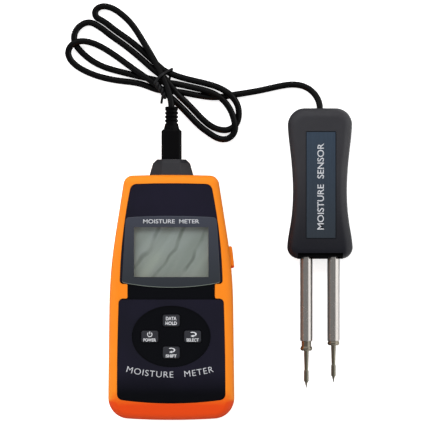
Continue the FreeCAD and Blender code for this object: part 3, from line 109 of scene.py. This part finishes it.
# ---- sizes of what is painted or printed on the CAD parts ----
WINDOW_WIDTH = 38.3 * MM
# width of the painted shadow line round the label
WINDOW_HEIGHT = 25.7 * MM
LABEL_SHADOW_WIDTH = 0.35 * MM
PRINT_LIFT = 0.03 * MM
SIGN_LIFT = 0.01 * MM
SIGN_DEPTH = 0.03 * MM
INK_HALF = 0.02 * MM
CAPITAL_SHARE = 0.7
KEY_WORD_DROP = 1.75 * MM
KEY_WORD_HEIGHT = 1.6 * MM
KEY_SIGN_SIZE = 1.15 * MM

# ---- stage and camera ----
FLOOR_HALF = 3.0
FLOOR_GAP = 0.2 * MM
FLOOR_GLOW = 0.7
FLOOR_PALE = (0.93, 0.93, 0.93, 1)
FLOOR_PALER = (0.95, 0.95, 0.95, 1)
FLOOR_MIRRORED = (0.85, 0.85, 0.85, 1)
FLOOR_MIRRORED_DARK = (0.1, 0.095, 0.09, 1)
FILL = 0.5
BACKDROP = 0.95
VIEW_WIDTH = 222.7 * MM
VIEW_LEVEL = 14 * MM
CAMERA_HEIGHT = 1.6
CAMERA_SHIFT_X = 3.4 * MM
CAMERA_SHIFT_Y = -2.4 * MM
SENSOR_WIDTH = 36


def linear(colour):
    """sRGB 0-255 to linear light, with full alpha."""
    out = []
    for value in colour:
        v = value / 255
        out.append(v / 12.92 if v <= 0.04045 else ((v + 0.055) / 1.055) ** 2.4)
    return tuple(out) + (1.0,)


def scaled(colour, factor):
    """A linear colour made lighter or darker."""
    return tuple(min(1.0, v * factor) for v in colour[:3]) + (1.0,)


# ---- node tree helpers ----
class Nodes:
    """The node tree of a material or a world, with short calls to add and link nodes."""

    def __init__(self, owner):
        owner.use_nodes = True
        self.owner = owner
        self.tree = owner.node_tree
        self.tree.nodes.clear()

    def add(self, kind, inputs=None, **settings):
        """A new node; each of its inputs may be a value or another node's output."""
        node = self.tree.nodes.new(kind)
        for name, value in settings.items():
            setattr(node, name, value)
        for name, value in (inputs or {}).items():
            if isinstance(value, bpy.types.NodeSocket):
                self.tree.links.new(value, node.inputs[name])
            else:
                node.inputs[name].default_value = value
        return node

    def place(self):
        """Object coordinates in metres."""
        return self.add("ShaderNodeTexCoord").outputs["Object"]

    def facing(self):
        """Direction the surface faces."""
        return self.add("ShaderNodeNewGeometry").outputs["Normal"]

    def axis(self, vector, name):
        """The X, Y or Z part of a vector."""
        return self.add("ShaderNodeSeparateXYZ", {"Vector": vector}).outputs[name]

    def mapping(self, vector, stretch=(1, 1, 1), turn=0.0):
        """Coordinates scaled, and turned about Z."""
        node = self.add("ShaderNodeMapping", {"Vector": vector, "Scale": stretch, "Rotation": (0, 0, turn)})
        return node.outputs["Vector"]

    def noise(self, scale, detail=4.0, rough=0.55, source=None):
        """Noise from 0 to 1; a scale of 1000 gives features of about 1 mm."""
        inputs = {"Scale": scale, "Detail": detail, "Roughness": rough, "Vector": source or self.place()}
        return self.add("ShaderNodeTexNoise", inputs).outputs["Fac"]

    def streaks(self, stretch, detail):
        """Noise drawn out along or across the axes."""
        return self.noise(1.0, detail, 0.6, self.mapping(self.place(), stretch))

    def remap(self, source, low, high, from_low=0.3, from_high=0.7):
        """Value that runs from low to high while the source runs from from_low to from_high."""
        inputs = {"Value": source, "From Min": from_low, "From Max": from_high, "To Min": low, "To Max": high}
        return self.add("ShaderNodeMapRange", inputs).outputs["Result"]

    def compute(self, operation, first, second=0.0):
        """Result of one arithmetic operation or comparison."""
        return self.add("ShaderNodeMath", {0: first, 1: second}, operation=operation).outputs[0]

    def mix(self, factor, first, second):
        """Mix of two colours."""
        return self.add("ShaderNodeMix", {0: factor, 6: first, 7: second}, data_type="RGBA").outputs[2]

    def blend(self, factor, first, second):
        """Mix of two shaders."""
        return self.add("ShaderNodeMixShader", {0: factor, 1: first, 2: second}).outputs[0]

    def bump(self, height, strength, distance, normal=None):
        """Surface direction disturbed by a height, on top of an earlier bump if one is given."""
        inputs = {"Height": height, "Strength": strength, "Distance": distance}
        if normal:
            inputs["Normal"] = normal
        return self.add("ShaderNodeBump", inputs).outputs["Normal"]

    def surface(self, colour, rough, normal=None, metallic=0.0, coat=0.0, coat_rough=0.1, spec=0.5, **more):
        """Principled shader; further inputs are given by name with _ for a space."""
        inputs = {"Base Color": colour, "Roughness": rough, "Metallic": metallic, "Coat Weight": coat,
                  "Coat Roughness": coat_rough, "Specular IOR Level": spec}
        if normal:
            inputs["Normal"] = normal
        for name, value in more.items():
            inputs[name.replace("_", " ")] = value
        return self.add("ShaderNodeBsdfPrincipled", inputs).outputs["BSDF"]

    def done(self, shader, output="ShaderNodeOutputMaterial"):
        """Links the shader to the output and returns the material or world."""
        self.add(output, {"Surface": shader})
        return self.owner


def new_material(name):
    """The empty node tree of a new material."""
    return Nodes(bpy.data.materials.new(name))


# ---- materials ----
def moulded(name, colour, rough=0.45, grain=0.25, spec=0.5):
    """Moulded plastic: fine spark-eroded grain, faint tone drift and handling marks."""
    n = new_material(name)
    drift = n.remap(n.noise(38, 2.0), 0.0, 1.0)
    tone = n.mix(drift, scaled(linear(colour), 0.94), scaled(linear(colour), 1.06))
    wear = n.remap(n.noise(160, 6.0, 0.7), rough - 0.06, rough + 0.08)
    normal = n.bump(n.noise(5200, 2.0, 0.5), grain, 0.06 * MM)
    return n.done(n.surface(tone, wear, normal, spec=spec))


def metal(name, colour, rough=0.25, streak=(400, 12, 400), streak_depth=0.1):
    """Drawn or turned metal: fine marks along or round it and uneven polish."""
    n = new_material(name)
    marks = n.streaks(streak, 6.0)
    tone = n.mix(n.remap(marks, 0.0, 1.0), scaled(linear(colour), 0.82), linear(colour))
    polish = n.remap(n.noise(220, 5.0, 0.7), rough - 0.06, rough + 0.1)
    return n.done(n.surface(tone, polish, n.bump(marks, streak_depth, 0.04 * MM), metallic=1.0))


def rod_mirror(streak):
    """Bright drawn steel of the rods, with a painted dark reflection on the side that faces the case and
    painted shade at both edges.
    """
    n = new_material("rod_steel")
    sideways = n.axis(n.facing(), "X")
    # painted reflection: the side facing the case is made duller and less metallic, as if mirroring darker
    # surroundings
    side_reflection = n.remap(sideways, 1.0, 0.0, -0.64, -0.46)
    marks = n.streaks(streak, 6.0)
    bright = n.mix(n.remap(marks, 0.0, 1.0), linear(ROD_MARK), linear(ROD_BRIGHT))
    tone = n.mix(side_reflection, bright, linear(ROD_SIDE_REFLECTION))
    # painted shade along both edges of each rod
    edge = n.remap(n.compute("ABSOLUTE", sideways), 0.0, 1.0, 0.84, 0.95)
    tone = n.mix(edge, tone, linear(ROD_EDGE_SHADE))
    polish = n.remap(n.noise(220, 5.0, 0.7), 0.14, 0.3)
    metallic = n.remap(side_reflection, 1.0, 0.6, 0.0, 1.0)
    return n.done(n.surface(tone, polish, n.bump(marks, 0.03, 0.04 * MM), metallic=metallic))


def orange_plastic():
    """Soft-touch orange case, with painted shade that makes it warmer and redder where it slopes down to the
    lower end.
    """
    n = new_material("orange_shell")
    # painted shade: upward faces that tilt towards the lower end, away from the key light, turn deep
    # red-orange
    downhill_shade = n.remap(n.axis(n.facing(), "Y"), 1.0, 0.0, -0.23, -0.09)
    upward = n.remap(n.axis(n.facing(), "Z"), 0.35, 1.0, 0.0, 0.4)
    drift = n.remap(n.noise(30, 2.0), 0.0, 1.0)
    face = n.mix(drift, linear(ORANGE_DARK), linear(ORANGE_LIGHT))
    tone = n.mix(n.compute("MULTIPLY", downhill_shade, upward), face, linear(ORANGE_PAINTED_SHADE))
    wear = n.remap(n.noise(140, 6.0, 0.7), 0.42, 0.54)
    normal = n.bump(n.noise(4200, 2.0, 0.5), 0.3, 0.06 * MM)
    normal = n.bump(n.noise(900, 3.0, 0.5), 0.08, 0.1 * MM, normal)
    shader = n.surface(tone, wear, normal, coat=0.06, coat_rough=0.35, spec=0.25,
                       Subsurface_Weight=0.05, Subsurface_Radius=(1.2 * MM, 0.6 * MM, 0.3 * MM))
    return n.done(shader)


def panel_plastic():
    """Navy panel: satin, with painted shade making the recessed oval round the keys, the waist and the lower
    end darker.
    """
    n = new_material("dark_panel")
    low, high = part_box("face_panel")
    # painted shade: everything sunk below the panel's top face, the key oval and the waist, is darkened
    depth = n.remap(n.axis(n.place(), "Z"), 1.0, 0.0, high.z - 0.6 * MM, high.z - 0.15 * MM)
    # painted shade towards the lower end, where the panel curves away from the light
    foot_shade = n.remap(n.axis(n.place(), "Y"), 1.0, 0.0, low.y + 2 * MM, low.y + 17 * MM)
    drift = n.remap(n.noise(26, 3.0), 0.0, 1.0)
    face = n.mix(drift, linear(NAVY), linear(NAVY_WARM))
    face = n.mix(foot_shade, face, linear(NAVY_FOOT_SHADE))
    tone = n.mix(depth, face, linear(NAVY_RECESS_SHADE))
    wear = n.remap(n.noise(120, 6.0, 0.7), 0.42, 0.55)
    return n.done(n.surface(tone, wear, n.bump(n.noise(5200, 2.0), 0.22, 0.05 * MM), spec=0.14))


def inside_box(n, low, high):
    """1 inside a rectangle in X and Y, 0 outside."""
    result = 1.0
    for axis, start, stop in (("X", low.x, high.x), ("Y", low.y, high.y)):
        along = n.axis(n.place(), axis)
        for test, limit in (("GREATER_THAN", start), ("LESS_THAN", stop)):
            result = n.compute("MULTIPLY", result, n.compute(test, along, limit))
    return result


def lens_plastic():
    """Clear lens, printed blue-grey behind its border and open over the screen; the border has painted shade
    towards its lower end and a painted highlight on its lower lip.
    """
    n = new_material("lens")
    low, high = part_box("display_lens")
    # painted shade: the border darker towards its lower end, lighter towards the key light
    upward = n.remap(n.axis(n.place(), "Y"), 0.0, 1.0, low.y, high.y)
    tone = n.mix(upward, linear(LENS_LOW_SHADE), linear(LENS_TOP))
    # painted highlight along the lower lip, on the faces that look towards the lower end
    lip_highlight = n.remap(n.axis(n.facing(), "Y"), 1.0, 0.0, -0.5, -0.2)
    tone = n.mix(lip_highlight, tone, linear(LENS_LIP_HIGHLIGHT))
    border = n.surface(tone, n.remap(n.noise(90, 5.0, 0.7), 0.14, 0.22), spec=0.4)
    clear = n.add("ShaderNodeBsdfTransparent", {"Color": (0.9, 0.92, 0.91, 1)}).outputs[0]
    gloss = n.add("ShaderNodeBsdfGlossy", {"Roughness": 0.08}).outputs[0]
    window = n.blend(0.05, clear, gloss)
    screen_low, screen_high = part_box("lcd_glass")
    centre = (screen_low + screen_high) / 2
    half = Vector((WINDOW_WIDTH / 2, WINDOW_HEIGHT / 2, 0))
    return n.done(n.blend(inside_box(n, centre - half, centre + half), border, window))


def screen_glass():
    """Reflective screen, switched off: grey-green, with slanting creases in its protective film."""
    n = new_material("lcd")
    slanted = n.mapping(n.place(), turn=math.radians(34))
    waves = n.add("ShaderNodeTexWave", {"Vector": slanted, "Scale": 27, "Distortion": 3.2, "Detail": 2.0,
                                        "Detail Scale": 1.5, "Phase Offset": 1.2}, bands_direction="X")
    lines = n.remap(waves.outputs["Fac"], 1.0, 0.0, 0.0, 0.1)
    crease = n.compute("MULTIPLY", lines, n.remap(n.noise(70, 2.0), 0.25, 0.9, 0.4, 0.6))
    bands = n.noise(1.0, 1.5, 0.5, n.mapping(slanted, (150, 24, 40)))
    light = n.mix(n.remap(n.noise(46, 1.0), 0.0, 1.0), linear(SCREEN_WARM), linear(SCREEN_COOL))
    tone = n.mix(n.remap(bands, 0.0, 1.0, 0.34, 0.66), linear(SCREEN_SHADE), light)
    tone = n.mix(crease, tone, linear(SCREEN_CREASE))
    return n.done(n.surface(tone, 0.42, n.bump(bands, 0.12, 0.3 * MM), spec=0.3))


def board_material():
    """Green solder mask with faint copper tracks under it."""
    n = new_material("board")
    tracks = n.add("ShaderNodeTexBrick", {"Vector": n.place(), "Scale": 260, "Mortar Size": 0.06,
                                          "Color1": linear(MASK_GREEN), "Color2": linear(MASK_DARK),
                                          "Mortar": linear(TRACK_GREEN)})
    normal = n.bump(tracks.outputs["Fac"], 0.3, 0.05 * MM)
    return n.done(n.surface(tracks.outputs["Color"], n.remap(n.noise(300, 3.0), 0.25, 0.4), normal, coat=0.3))


def cell_sleeve():
    """Printed battery sleeve: blue with gold bands, half metallic."""
    n = new_material("cell_can")
    waves = n.add("ShaderNodeTexWave", {"Vector": n.place(), "Scale": 30, "Distortion": 0.4},
                  bands_direction="Y")
    gold = n.remap(waves.outputs["Fac"], 0.0, 1.0, 0.45, 0.55)
    tone = n.mix(gold, linear(SLEEVE_BLUE), linear(SLEEVE_GOLD))
    rough = n.remap(n.noise(200, 4.0), 0.22, 0.36)
    return n.done(n.surface(tone, rough, n.bump(n.noise(900, 3.0), 0.05, 0.1 * MM), metallic=0.55))


def cable_jacket():
    """Smooth flexible jacket: near black, satin, slightly uneven."""
    n = new_material("cable_jacket")
    tone = n.mix(n.remap(n.noise(60, 3.0), 0.0, 1.0), linear(CABLE_BLACK), linear(CABLE_RUBBED))
    rough = n.remap(n.noise(240, 5.0, 0.7), 0.2, 0.3)
    normal = n.bump(n.noise(1400, 3.0), 0.12, 0.1 * MM)
    normal = n.bump(n.noise(120, 2.0), 0.1, 0.6 * MM, normal)
    return n.done(n.surface(tone, rough, normal, spec=0.2))


def handle_skin():
    """Handle plastic: matt charcoal, with painted shade that makes it bluer and darker towards the rods."""
    n = new_material("handle_plastic")
    low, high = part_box("handle_front")
    # painted shade: darker and bluer over the lower part towards the rods
    upward = n.remap(n.axis(n.place(), "Y"), 0.0, 1.0, low.y, low.y + 0.6 * (high.y - low.y))
    drift = n.remap(n.noise(38, 2.0), 0.0, 1.0)
    tone = n.mix(upward, linear(HANDLE_LOW_SHADE), n.mix(drift, linear(HANDLE_GREY), linear(HANDLE_PALE)))
    wear = n.remap(n.noise(160, 6.0, 0.7), 0.36, 0.5)
    normal = n.bump(n.noise(5200, 2.0, 0.5), 0.35, 0.06 * MM)
    return n.done(n.surface(tone, wear, normal, coat=0.05, coat_rough=0.22, spec=0.35))


def label_paint():
    """Painted label plate: satin blue-grey, with a painted shadow line round its edge where it sits in its
    recess, and painted shade darkening it towards the rods so it is bluer towards the lead end.
    """
    n = new_material("label_plate")
    low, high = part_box("handle_label")
    # painted shade: darker and greyer towards the rods
    upward = n.remap(n.axis(n.place(), "Y"), 0.0, 1.0, low.y, high.y)
    tone = n.mix(upward, linear(LABEL_LOW_SHADE), linear(LABEL_TOP))
    marks = n.streaks((1500, 60, 300), 4.0)
    tone = n.mix(n.remap(marks, 0.0, 0.25), tone, linear(LABEL_MARK))
    # painted shadow line round the label's edge, where it sits in its recess
    edge = Vector((LABEL_SHADOW_WIDTH, LABEL_SHADOW_WIDTH, 0))
    tone = n.mix(inside_box(n, low + edge, high - edge), linear(LABEL_RIM_SHADOW), tone)
    rough = n.remap(n.noise(180, 5.0, 0.7), 0.34, 0.46)
    return n.done(n.surface(tone, rough, n.bump(marks, 0.08, 0.04 * MM), spec=0.35))


def printed(name, colour):
    """Screen-printed ink: uneven in tone, dull."""
    n = new_material(name)
    uneven = n.remap(n.noise(900, 5.0, 0.8), 0.0, 1.0)
    tone = n.mix(uneven, scaled(linear(colour), 0.8), linear(colour))
    return n.done(n.surface(tone, 0.55, n.bump(n.noise(6000, 2.0), 0.1, 0.03 * MM)))


def make_materials():
    """Every finish by the name of its slot."""
    drawn = (900, 14, 900)
    turned = (60, 2600, 60)
    return {
        "orange_shell": orange_plastic(),
        "dark_panel": panel_plastic(),
        "lens": lens_plastic(),
        "lcd": screen_glass(),
        "white_plastic": moulded("white_plastic", (214, 214, 208), 0.5),
        "silicone": moulded("silicone", (44, 44, 47), 0.7, 0.15),
        "board": board_material(),
        "chip": moulded("chip", (26, 26, 28), 0.5, 0.4),
        "key_plastic": moulded("key_plastic", KEY_GREY, 0.5, 0.2, spec=0.35),
        "cell_can": cell_sleeve(),
        "spring_steel": metal("spring_steel", (190, 190, 188), 0.25),
        "nickel": metal("nickel", (198, 194, 184), 0.28),
        "screw_steel": metal("screw_steel", (168, 168, 170), 0.3, turned),
        "hood_plastic": moulded("hood_plastic", (40, 40, 44), 0.34, 0.3, spec=0.4),
        "black_plastic": moulded("black_plastic", (5, 5, 6), 0.36, 0.2, spec=0.12),
        "soft_black": moulded("soft_black", (3, 3, 4), 0.46, 0.3, spec=0.1),
        "brass_contact": metal("brass_contact", (214, 178, 92), 0.22),
        "wire_jacket": moulded("wire_jacket", (170, 40, 34), 0.4, 0.05),
        "cable_jacket": cable_jacket(),
        "tie_plastic": moulded("tie_plastic", (26, 26, 28), 0.4, 0.1, spec=0.4),
        "handle_plastic": handle_skin(),
        "label_plate": label_paint(),
        "rod_steel": rod_mirror(drawn),
        "collar_steel": metal("collar_steel", (164, 156, 140), 0.25, turned),
        "needle_steel": metal("needle_steel", (146, 142, 126), 0.32, drawn, 0.15),
        "print_white": printed("print_white", PRINT_WHITE),
        "print_grey": printed("print_grey", PRINT_GREY),
    }


MATERIALS = make_materials()


def dress_nodes():
    """Gives every CAD node the procedural material of its slot."""
    for entry in frame["record"]["subparts"]:
        node = NODES[entry["node"]]
        node.data.materials.clear()
        node.data.materials.append(MATERIALS[entry["material_slot"]])
        for polygon in node.data.polygons:
            polygon.material_index = 0


# ---- printed text and signs ----
def link_piece(obj, body, material):
    """Puts a new piece in the scene, on its body and with its finish."""
    bpy.context.scene.collection.objects.link(obj)
    obj.data.materials.append(MATERIALS[material])
    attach(obj, body)


def letters(name, text, height, boldness, spacing=1.0):
    """Text as a thin mesh object, centred, with capitals of about the given height."""
    curve = bpy.data.curves.new("letters", "FONT")
    curve.body = text
    curve.size = height / CAPITAL_SHARE
    curve.align_x = "CENTER"
    curve.align_y = "CENTER"
    curve.offset = boldness
    curve.extrude = INK_HALF
    curve.resolution_u = 6
    curve.space_character = spacing
    source = bpy.data.objects.new("letters", curve)
    bpy.context.scene.collection.objects.link(source)
    bpy.context.view_layer.update()
    graph = bpy.context.evaluated_depsgraph_get()
    mesh = bpy.data.meshes.new_from_object(source.evaluated_get(graph))
    bpy.data.objects.remove(source)
    return bpy.data.objects.new(name, mesh)


def extent(obj):
    """Lowest and highest X, then lowest and highest Y, of a mesh object."""
    xs = [v.co.x for v in obj.data.vertices]
    ys = [v.co.y for v in obj.data.vertices]
    return min(xs), max(xs), min(ys), max(ys)


def straight_text(name, text, centre, height, width, body, ink, turn=0.0, boldness=0.0):
    """One line of text fitted to a height and width, lying face up at a centre point."""
    obj = letters(name, text, height, boldness)
    left, right, bottom, top = extent(obj)
    middle = Vector(((right + left) / 2, (top + bottom) / 2, 0))
    obj.data.transform(Matrix.Translation(-middle))
    obj.data.transform(Matrix.Diagonal((width / (right - left), height / (top - bottom), 1, 1)))
    obj.data.transform(Matrix.Rotation(turn, 4, "Z"))
    obj.data.transform(Matrix.Translation(centre))
    link_piece(obj, body, ink)


def panel_height(x, y):
    """Height of the panel's face at a point, found by a ray from above."""
    hit, where, _, _ = NODES["face_panel"].ray_cast(Vector((x, y, 0.1)), Vector((0, 0, -1)))
    return where.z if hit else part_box("face_panel")[1].z


def arc_text(name, text, radius, low_point, height, span):
    """Text laid on the panel along an arc that opens upwards; the arc's lowest point is given."""
    obj = letters(name, text, height, -0.03 * MM, 1.12)
    left, right, bottom, top = extent(obj)
    middle = (right + left) / 2
    fit_x = span / (right - left)
    fit_y = height / (top - bottom)
    for vertex in obj.data.vertices:
        angle = (vertex.co.x - middle) * fit_x / radius
        reach = radius - (vertex.co.y - bottom) * fit_y
        x = low_point[0] + reach * math.sin(angle)
        y = low_point[1] + radius - reach * math.cos(angle)
        vertex.co = (x, y, panel_height(x, y) + PRINT_LIFT + vertex.co.z)
    link_piece(obj, "meter", "print_grey")


def flat_ring(radius, width, start, stop, steps):
    """Flat arc band as a mesh object round the origin, from one angle to another in degrees."""
    vertices = []
    for step in range(steps + 1):
        angle = math.radians(start) + (math.radians(stop) - math.radians(start)) * step / steps
        for r in (radius - width / 2, radius + width / 2):
            vertices.append((r * math.cos(angle), r * math.sin(angle), 0))
    faces = [(2 * k, 2 * k + 2, 2 * k + 3, 2 * k + 1) for k in range(steps)]
    mesh = bpy.data.meshes.new("band")
    mesh.from_pydata(vertices, [], faces)
    return bpy.data.objects.new("band", mesh)


def flat_shape(size, corners):
    """Flat face as a mesh object; its corners are given as shares of a size."""
    mesh = bpy.data.meshes.new("shape")
    mesh.from_pydata([(x * size, y * size, 0) for x, y in corners], [], [tuple(range(len(corners)))])
    return bpy.data.objects.new("shape", mesh)


def power_sign(size):
    """Open ring with a stem in its gap."""
    ring = flat_ring(size, size * 0.36, 130, 410, 36)
    stem = flat_shape(size, [(-0.18, 0.1), (0.18, 0.1), (0.18, 1.3), (-0.18, 1.3)])
    return [ring, stem]


def arrow_sign(size):
    """Bold flattened hook that turns back on itself and ends in a small arrow head."""
    hook = flat_ring(size, size * 0.45, -80, 125, 24)
    hook.data.transform(Matrix.Diagonal((1.5, 0.85, 1, 1)))
    head = flat_shape(size, [(0.45, -0.25), (-0.95, -0.85), (0.4, -1.4)])
    return [hook, head]


def joined(name, parts, depth):
    """Joins flat mesh objects into one new object and gives it a thickness."""
    work = bmesh.new()
    for part in parts:
        work.from_mesh(part.data)
        bpy.data.objects.remove(part)
    bmesh.ops.recalc_face_normals(work, faces=work.faces)
    grown = bmesh.ops.extrude_face_region(work, geom=work.faces[:])
    for item in grown["geom"]:
        if isinstance(item, bmesh.types.BMVert):
            item.co.z += depth
    bmesh.ops.recalc_face_normals(work, faces=work.faces)
    mesh = bpy.data.meshes.new(name)
    work.to_mesh(mesh)
    work.free()
    return bpy.data.objects.new(name, mesh)


def on_key(key, rise, lift):
    """Point on a key's face: its middle, moved along Y and lifted."""
    low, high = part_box(key)
    return Vector(((low.x + high.x) / 2, (low.y + high.y) / 2 + rise, high.z + lift))


def key_sign(key, parts, rise):
    """A sign made of flat parts, above the middle of a key's face."""
    sign = joined(key + "_sign", parts, SIGN_DEPTH)
    sign.data.transform(Matrix.Translation(on_key(key, rise, SIGN_LIFT)))
    link_piece(sign, key, "print_white")


def key_word(key, text, width, drop=KEY_WORD_DROP, height=KEY_WORD_HEIGHT):
    """A word on a key, below the middle of its face."""
    name = key + "_word_" + text.lower()
    centre = on_key(key, -drop, PRINT_LIFT)
    straight_text(name, text, centre, height, width, key, "print_white", boldness=0.06 * MM)


def key_prints():
    """The words and signs on the four keys."""
    key_word("hold_key", "DATA", 5.4 * MM, drop=-1.1 * MM, height=1.8 * MM)
    key_word("hold_key", "HOLD", 5.8 * MM, drop=1.35 * MM, height=1.8 * MM)
    key_sign("power_key", power_sign(KEY_SIGN_SIZE), 1.1 * MM)
    key_word("power_key", "POWER", 6.5 * MM)
    key_sign("select_key", arrow_sign(KEY_SIGN_SIZE), 1.25 * MM)
    key_word("select_key", "SELECT", 6.3 * MM)
    key_sign("shift_key", arrow_sign(KEY_SIGN_SIZE), 1.25 * MM)
    key_word("shift_key", "SHIFT", 5.6 * MM)


def texts():
    """The lines on the lens, on the panel and on the handle's label."""
    low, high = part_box("display_lens")
    centre = Vector(((low.x + high.x) / 2, high.y - 2.9 * MM, high.z + PRINT_LIFT))
    straight_text("lens_text", "MOISTURE  METER", centre, height=2.1 * MM, width=28.8 * MM, body="meter",
                  ink="print_grey", boldness=0.03 * MM)
    lowest = (-0.6 * MM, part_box("face_panel")[0].y + 13.3 * MM)
    arc_text("panel_text", "MOISTURE   METER", radius=88 * MM, low_point=lowest, height=3.1 * MM,
             span=45.6 * MM)
    low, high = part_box("handle_label")
    centre = Vector(((low.x + high.x) / 2 - 0.2 * MM, (low.y + high.y) / 2 - 0.8 * MM, high.z + PRINT_LIFT))
    straight_text("label_text", "MOISTURE  SENSOR", centre, height=3.4 * MM, width=44.5 * MM,
                  body="probe_lead", ink="print_grey", turn=math.pi / 2,
                  boldness=0.04 * MM)


# ---- stage, light and camera ----
def floor():
    """Pale floor; plain white to the camera, and dark in reflections on the case's side of the rods."""
    s = FLOOR_HALF
    mesh = bpy.data.meshes.new("floor")
    mesh.from_pydata([(-s, -s, 0), (s, -s, 0), (s, s, 0), (-s, s, 0)], [], [(0, 1, 2, 3)])
    obj = bpy.data.objects.new("floor", mesh)
    bpy.context.scene.collection.objects.link(obj)
    n = new_material("floor")
    path = n.add("ShaderNodeLightPath")
    pale = n.mix(n.remap(n.noise(3, 3.0), 0.0, 1.0), FLOOR_PALE, FLOOR_PALER)
    rod_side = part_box("right_rod")[1].x
    beside = n.remap(n.axis(n.place(), "X"), 0.0, 1.0, rod_side - 4 * MM, rod_side + 2 * MM)
    mirrored = n.mix(beside, FLOOR_MIRRORED_DARK, FLOOR_MIRRORED)
    tone = n.mix(path.outputs["Is Glossy Ray"], pale, mirrored)
    glow = n.compute("MULTIPLY", path.outputs["Is Camera Ray"], FLOOR_GLOW)
    shader = n.surface(tone, 0.85, n.bump(n.noise(300, 3.0), 0.02, 0.5 * MM), spec=0.1,
                       Emission_Color=(1, 1, 1, 1), Emission_Strength=glow)
    mesh.materials.append(n.done(shader))
    obj.location.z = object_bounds()[0].z - FLOOR_GAP
    obj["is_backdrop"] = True


def area_light(name, place, target, size_x, size_y, power):
    """Soft light that shiny faces don't mirror."""
    light = bpy.data.lights.new(name, "AREA")
    light.shape = "RECTANGLE"
    light.size = size_x
    light.size_y = size_y
    light.energy = power
    obj = bpy.data.objects.new(name, light)
    obj.location = place
    obj.rotation_euler = (Vector(target) - Vector(place)).to_track_quat("-Z", "Y").to_euler()
    obj.visible_glossy = False
    bpy.context.scene.collection.objects.link(obj)


def studio():
    """Even fill light; shiny faces see it dim overhead and at the left, brighter at the right and beyond."""
    n = Nodes(bpy.data.worlds.new("studio"))
    way = n.add("ShaderNodeTexCoord").outputs["Generated"]
    horizon = n.remap(n.axis(way, "Z"), 0.6, 0.0, 0.1, 0.3)
    beyond = n.remap(n.axis(way, "Y"), 0.2, 0.7, -0.1, 0.8)
    beside = n.remap(n.axis(way, "X"), 0.0, 1.3, 0.52, 0.7)
    mirrored = n.compute("MAXIMUM", horizon, n.compute("MAXIMUM", beyond, beside))
    path = n.add("ShaderNodeLightPath")
    plain = n.remap(path.outputs["Is Camera Ray"], FILL, BACKDROP, 0.0, 1.0)
    choice = n.add("ShaderNodeMix", {"Factor": path.outputs["Is Glossy Ray"], "A": plain, "B": mirrored})
    background = n.add("ShaderNodeBackground", {"Color": (1, 1, 1, 1), "Strength": choice.outputs["Result"]})
    bpy.context.scene.world = n.done(background.outputs[0], "ShaderNodeOutputWorld")


def lights():
    """A large key light beyond the object's upper end, a weaker light at each side, and the studio."""
    low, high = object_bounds()
    x, y, _ = (low + high) / 2
    target = (x, y, 0.0)
    area_light("sky_key", (x - 0.2, y + 1.0, 1.4), target, 1.2, 0.8, power=18)
    area_light("side_right", (x + 1.3, y, 0.9), target, 0.5, 1.2, power=2)
    area_light("side_left", (x - 1.2, y + 0.2, 0.9), target, 0.5, 1.2, power=5)
    studio()
    bpy.context.scene.view_settings.view_transform = "Standard"


def camera():
    """Camera straight above; its view is VIEW_WIDTH wide at the height VIEW_LEVEL."""
    low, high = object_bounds()
    middle = (low + high) / 2
    data = bpy.data.cameras.new("camera")
    data.sensor_width = SENSOR_WIDTH
    data.lens = SENSOR_WIDTH * (CAMERA_HEIGHT - VIEW_LEVEL) / VIEW_WIDTH
    data.clip_end = 20
    obj = bpy.data.objects.new("camera", data)
    obj.location = (middle.x + CAMERA_SHIFT_X, middle.y + CAMERA_SHIFT_Y, CAMERA_HEIGHT)
    bpy.context.scene.collection.objects.link(obj)
    bpy.context.scene.camera = obj


dress_nodes()
texts()
key_prints()
floor()
lights()
camera()
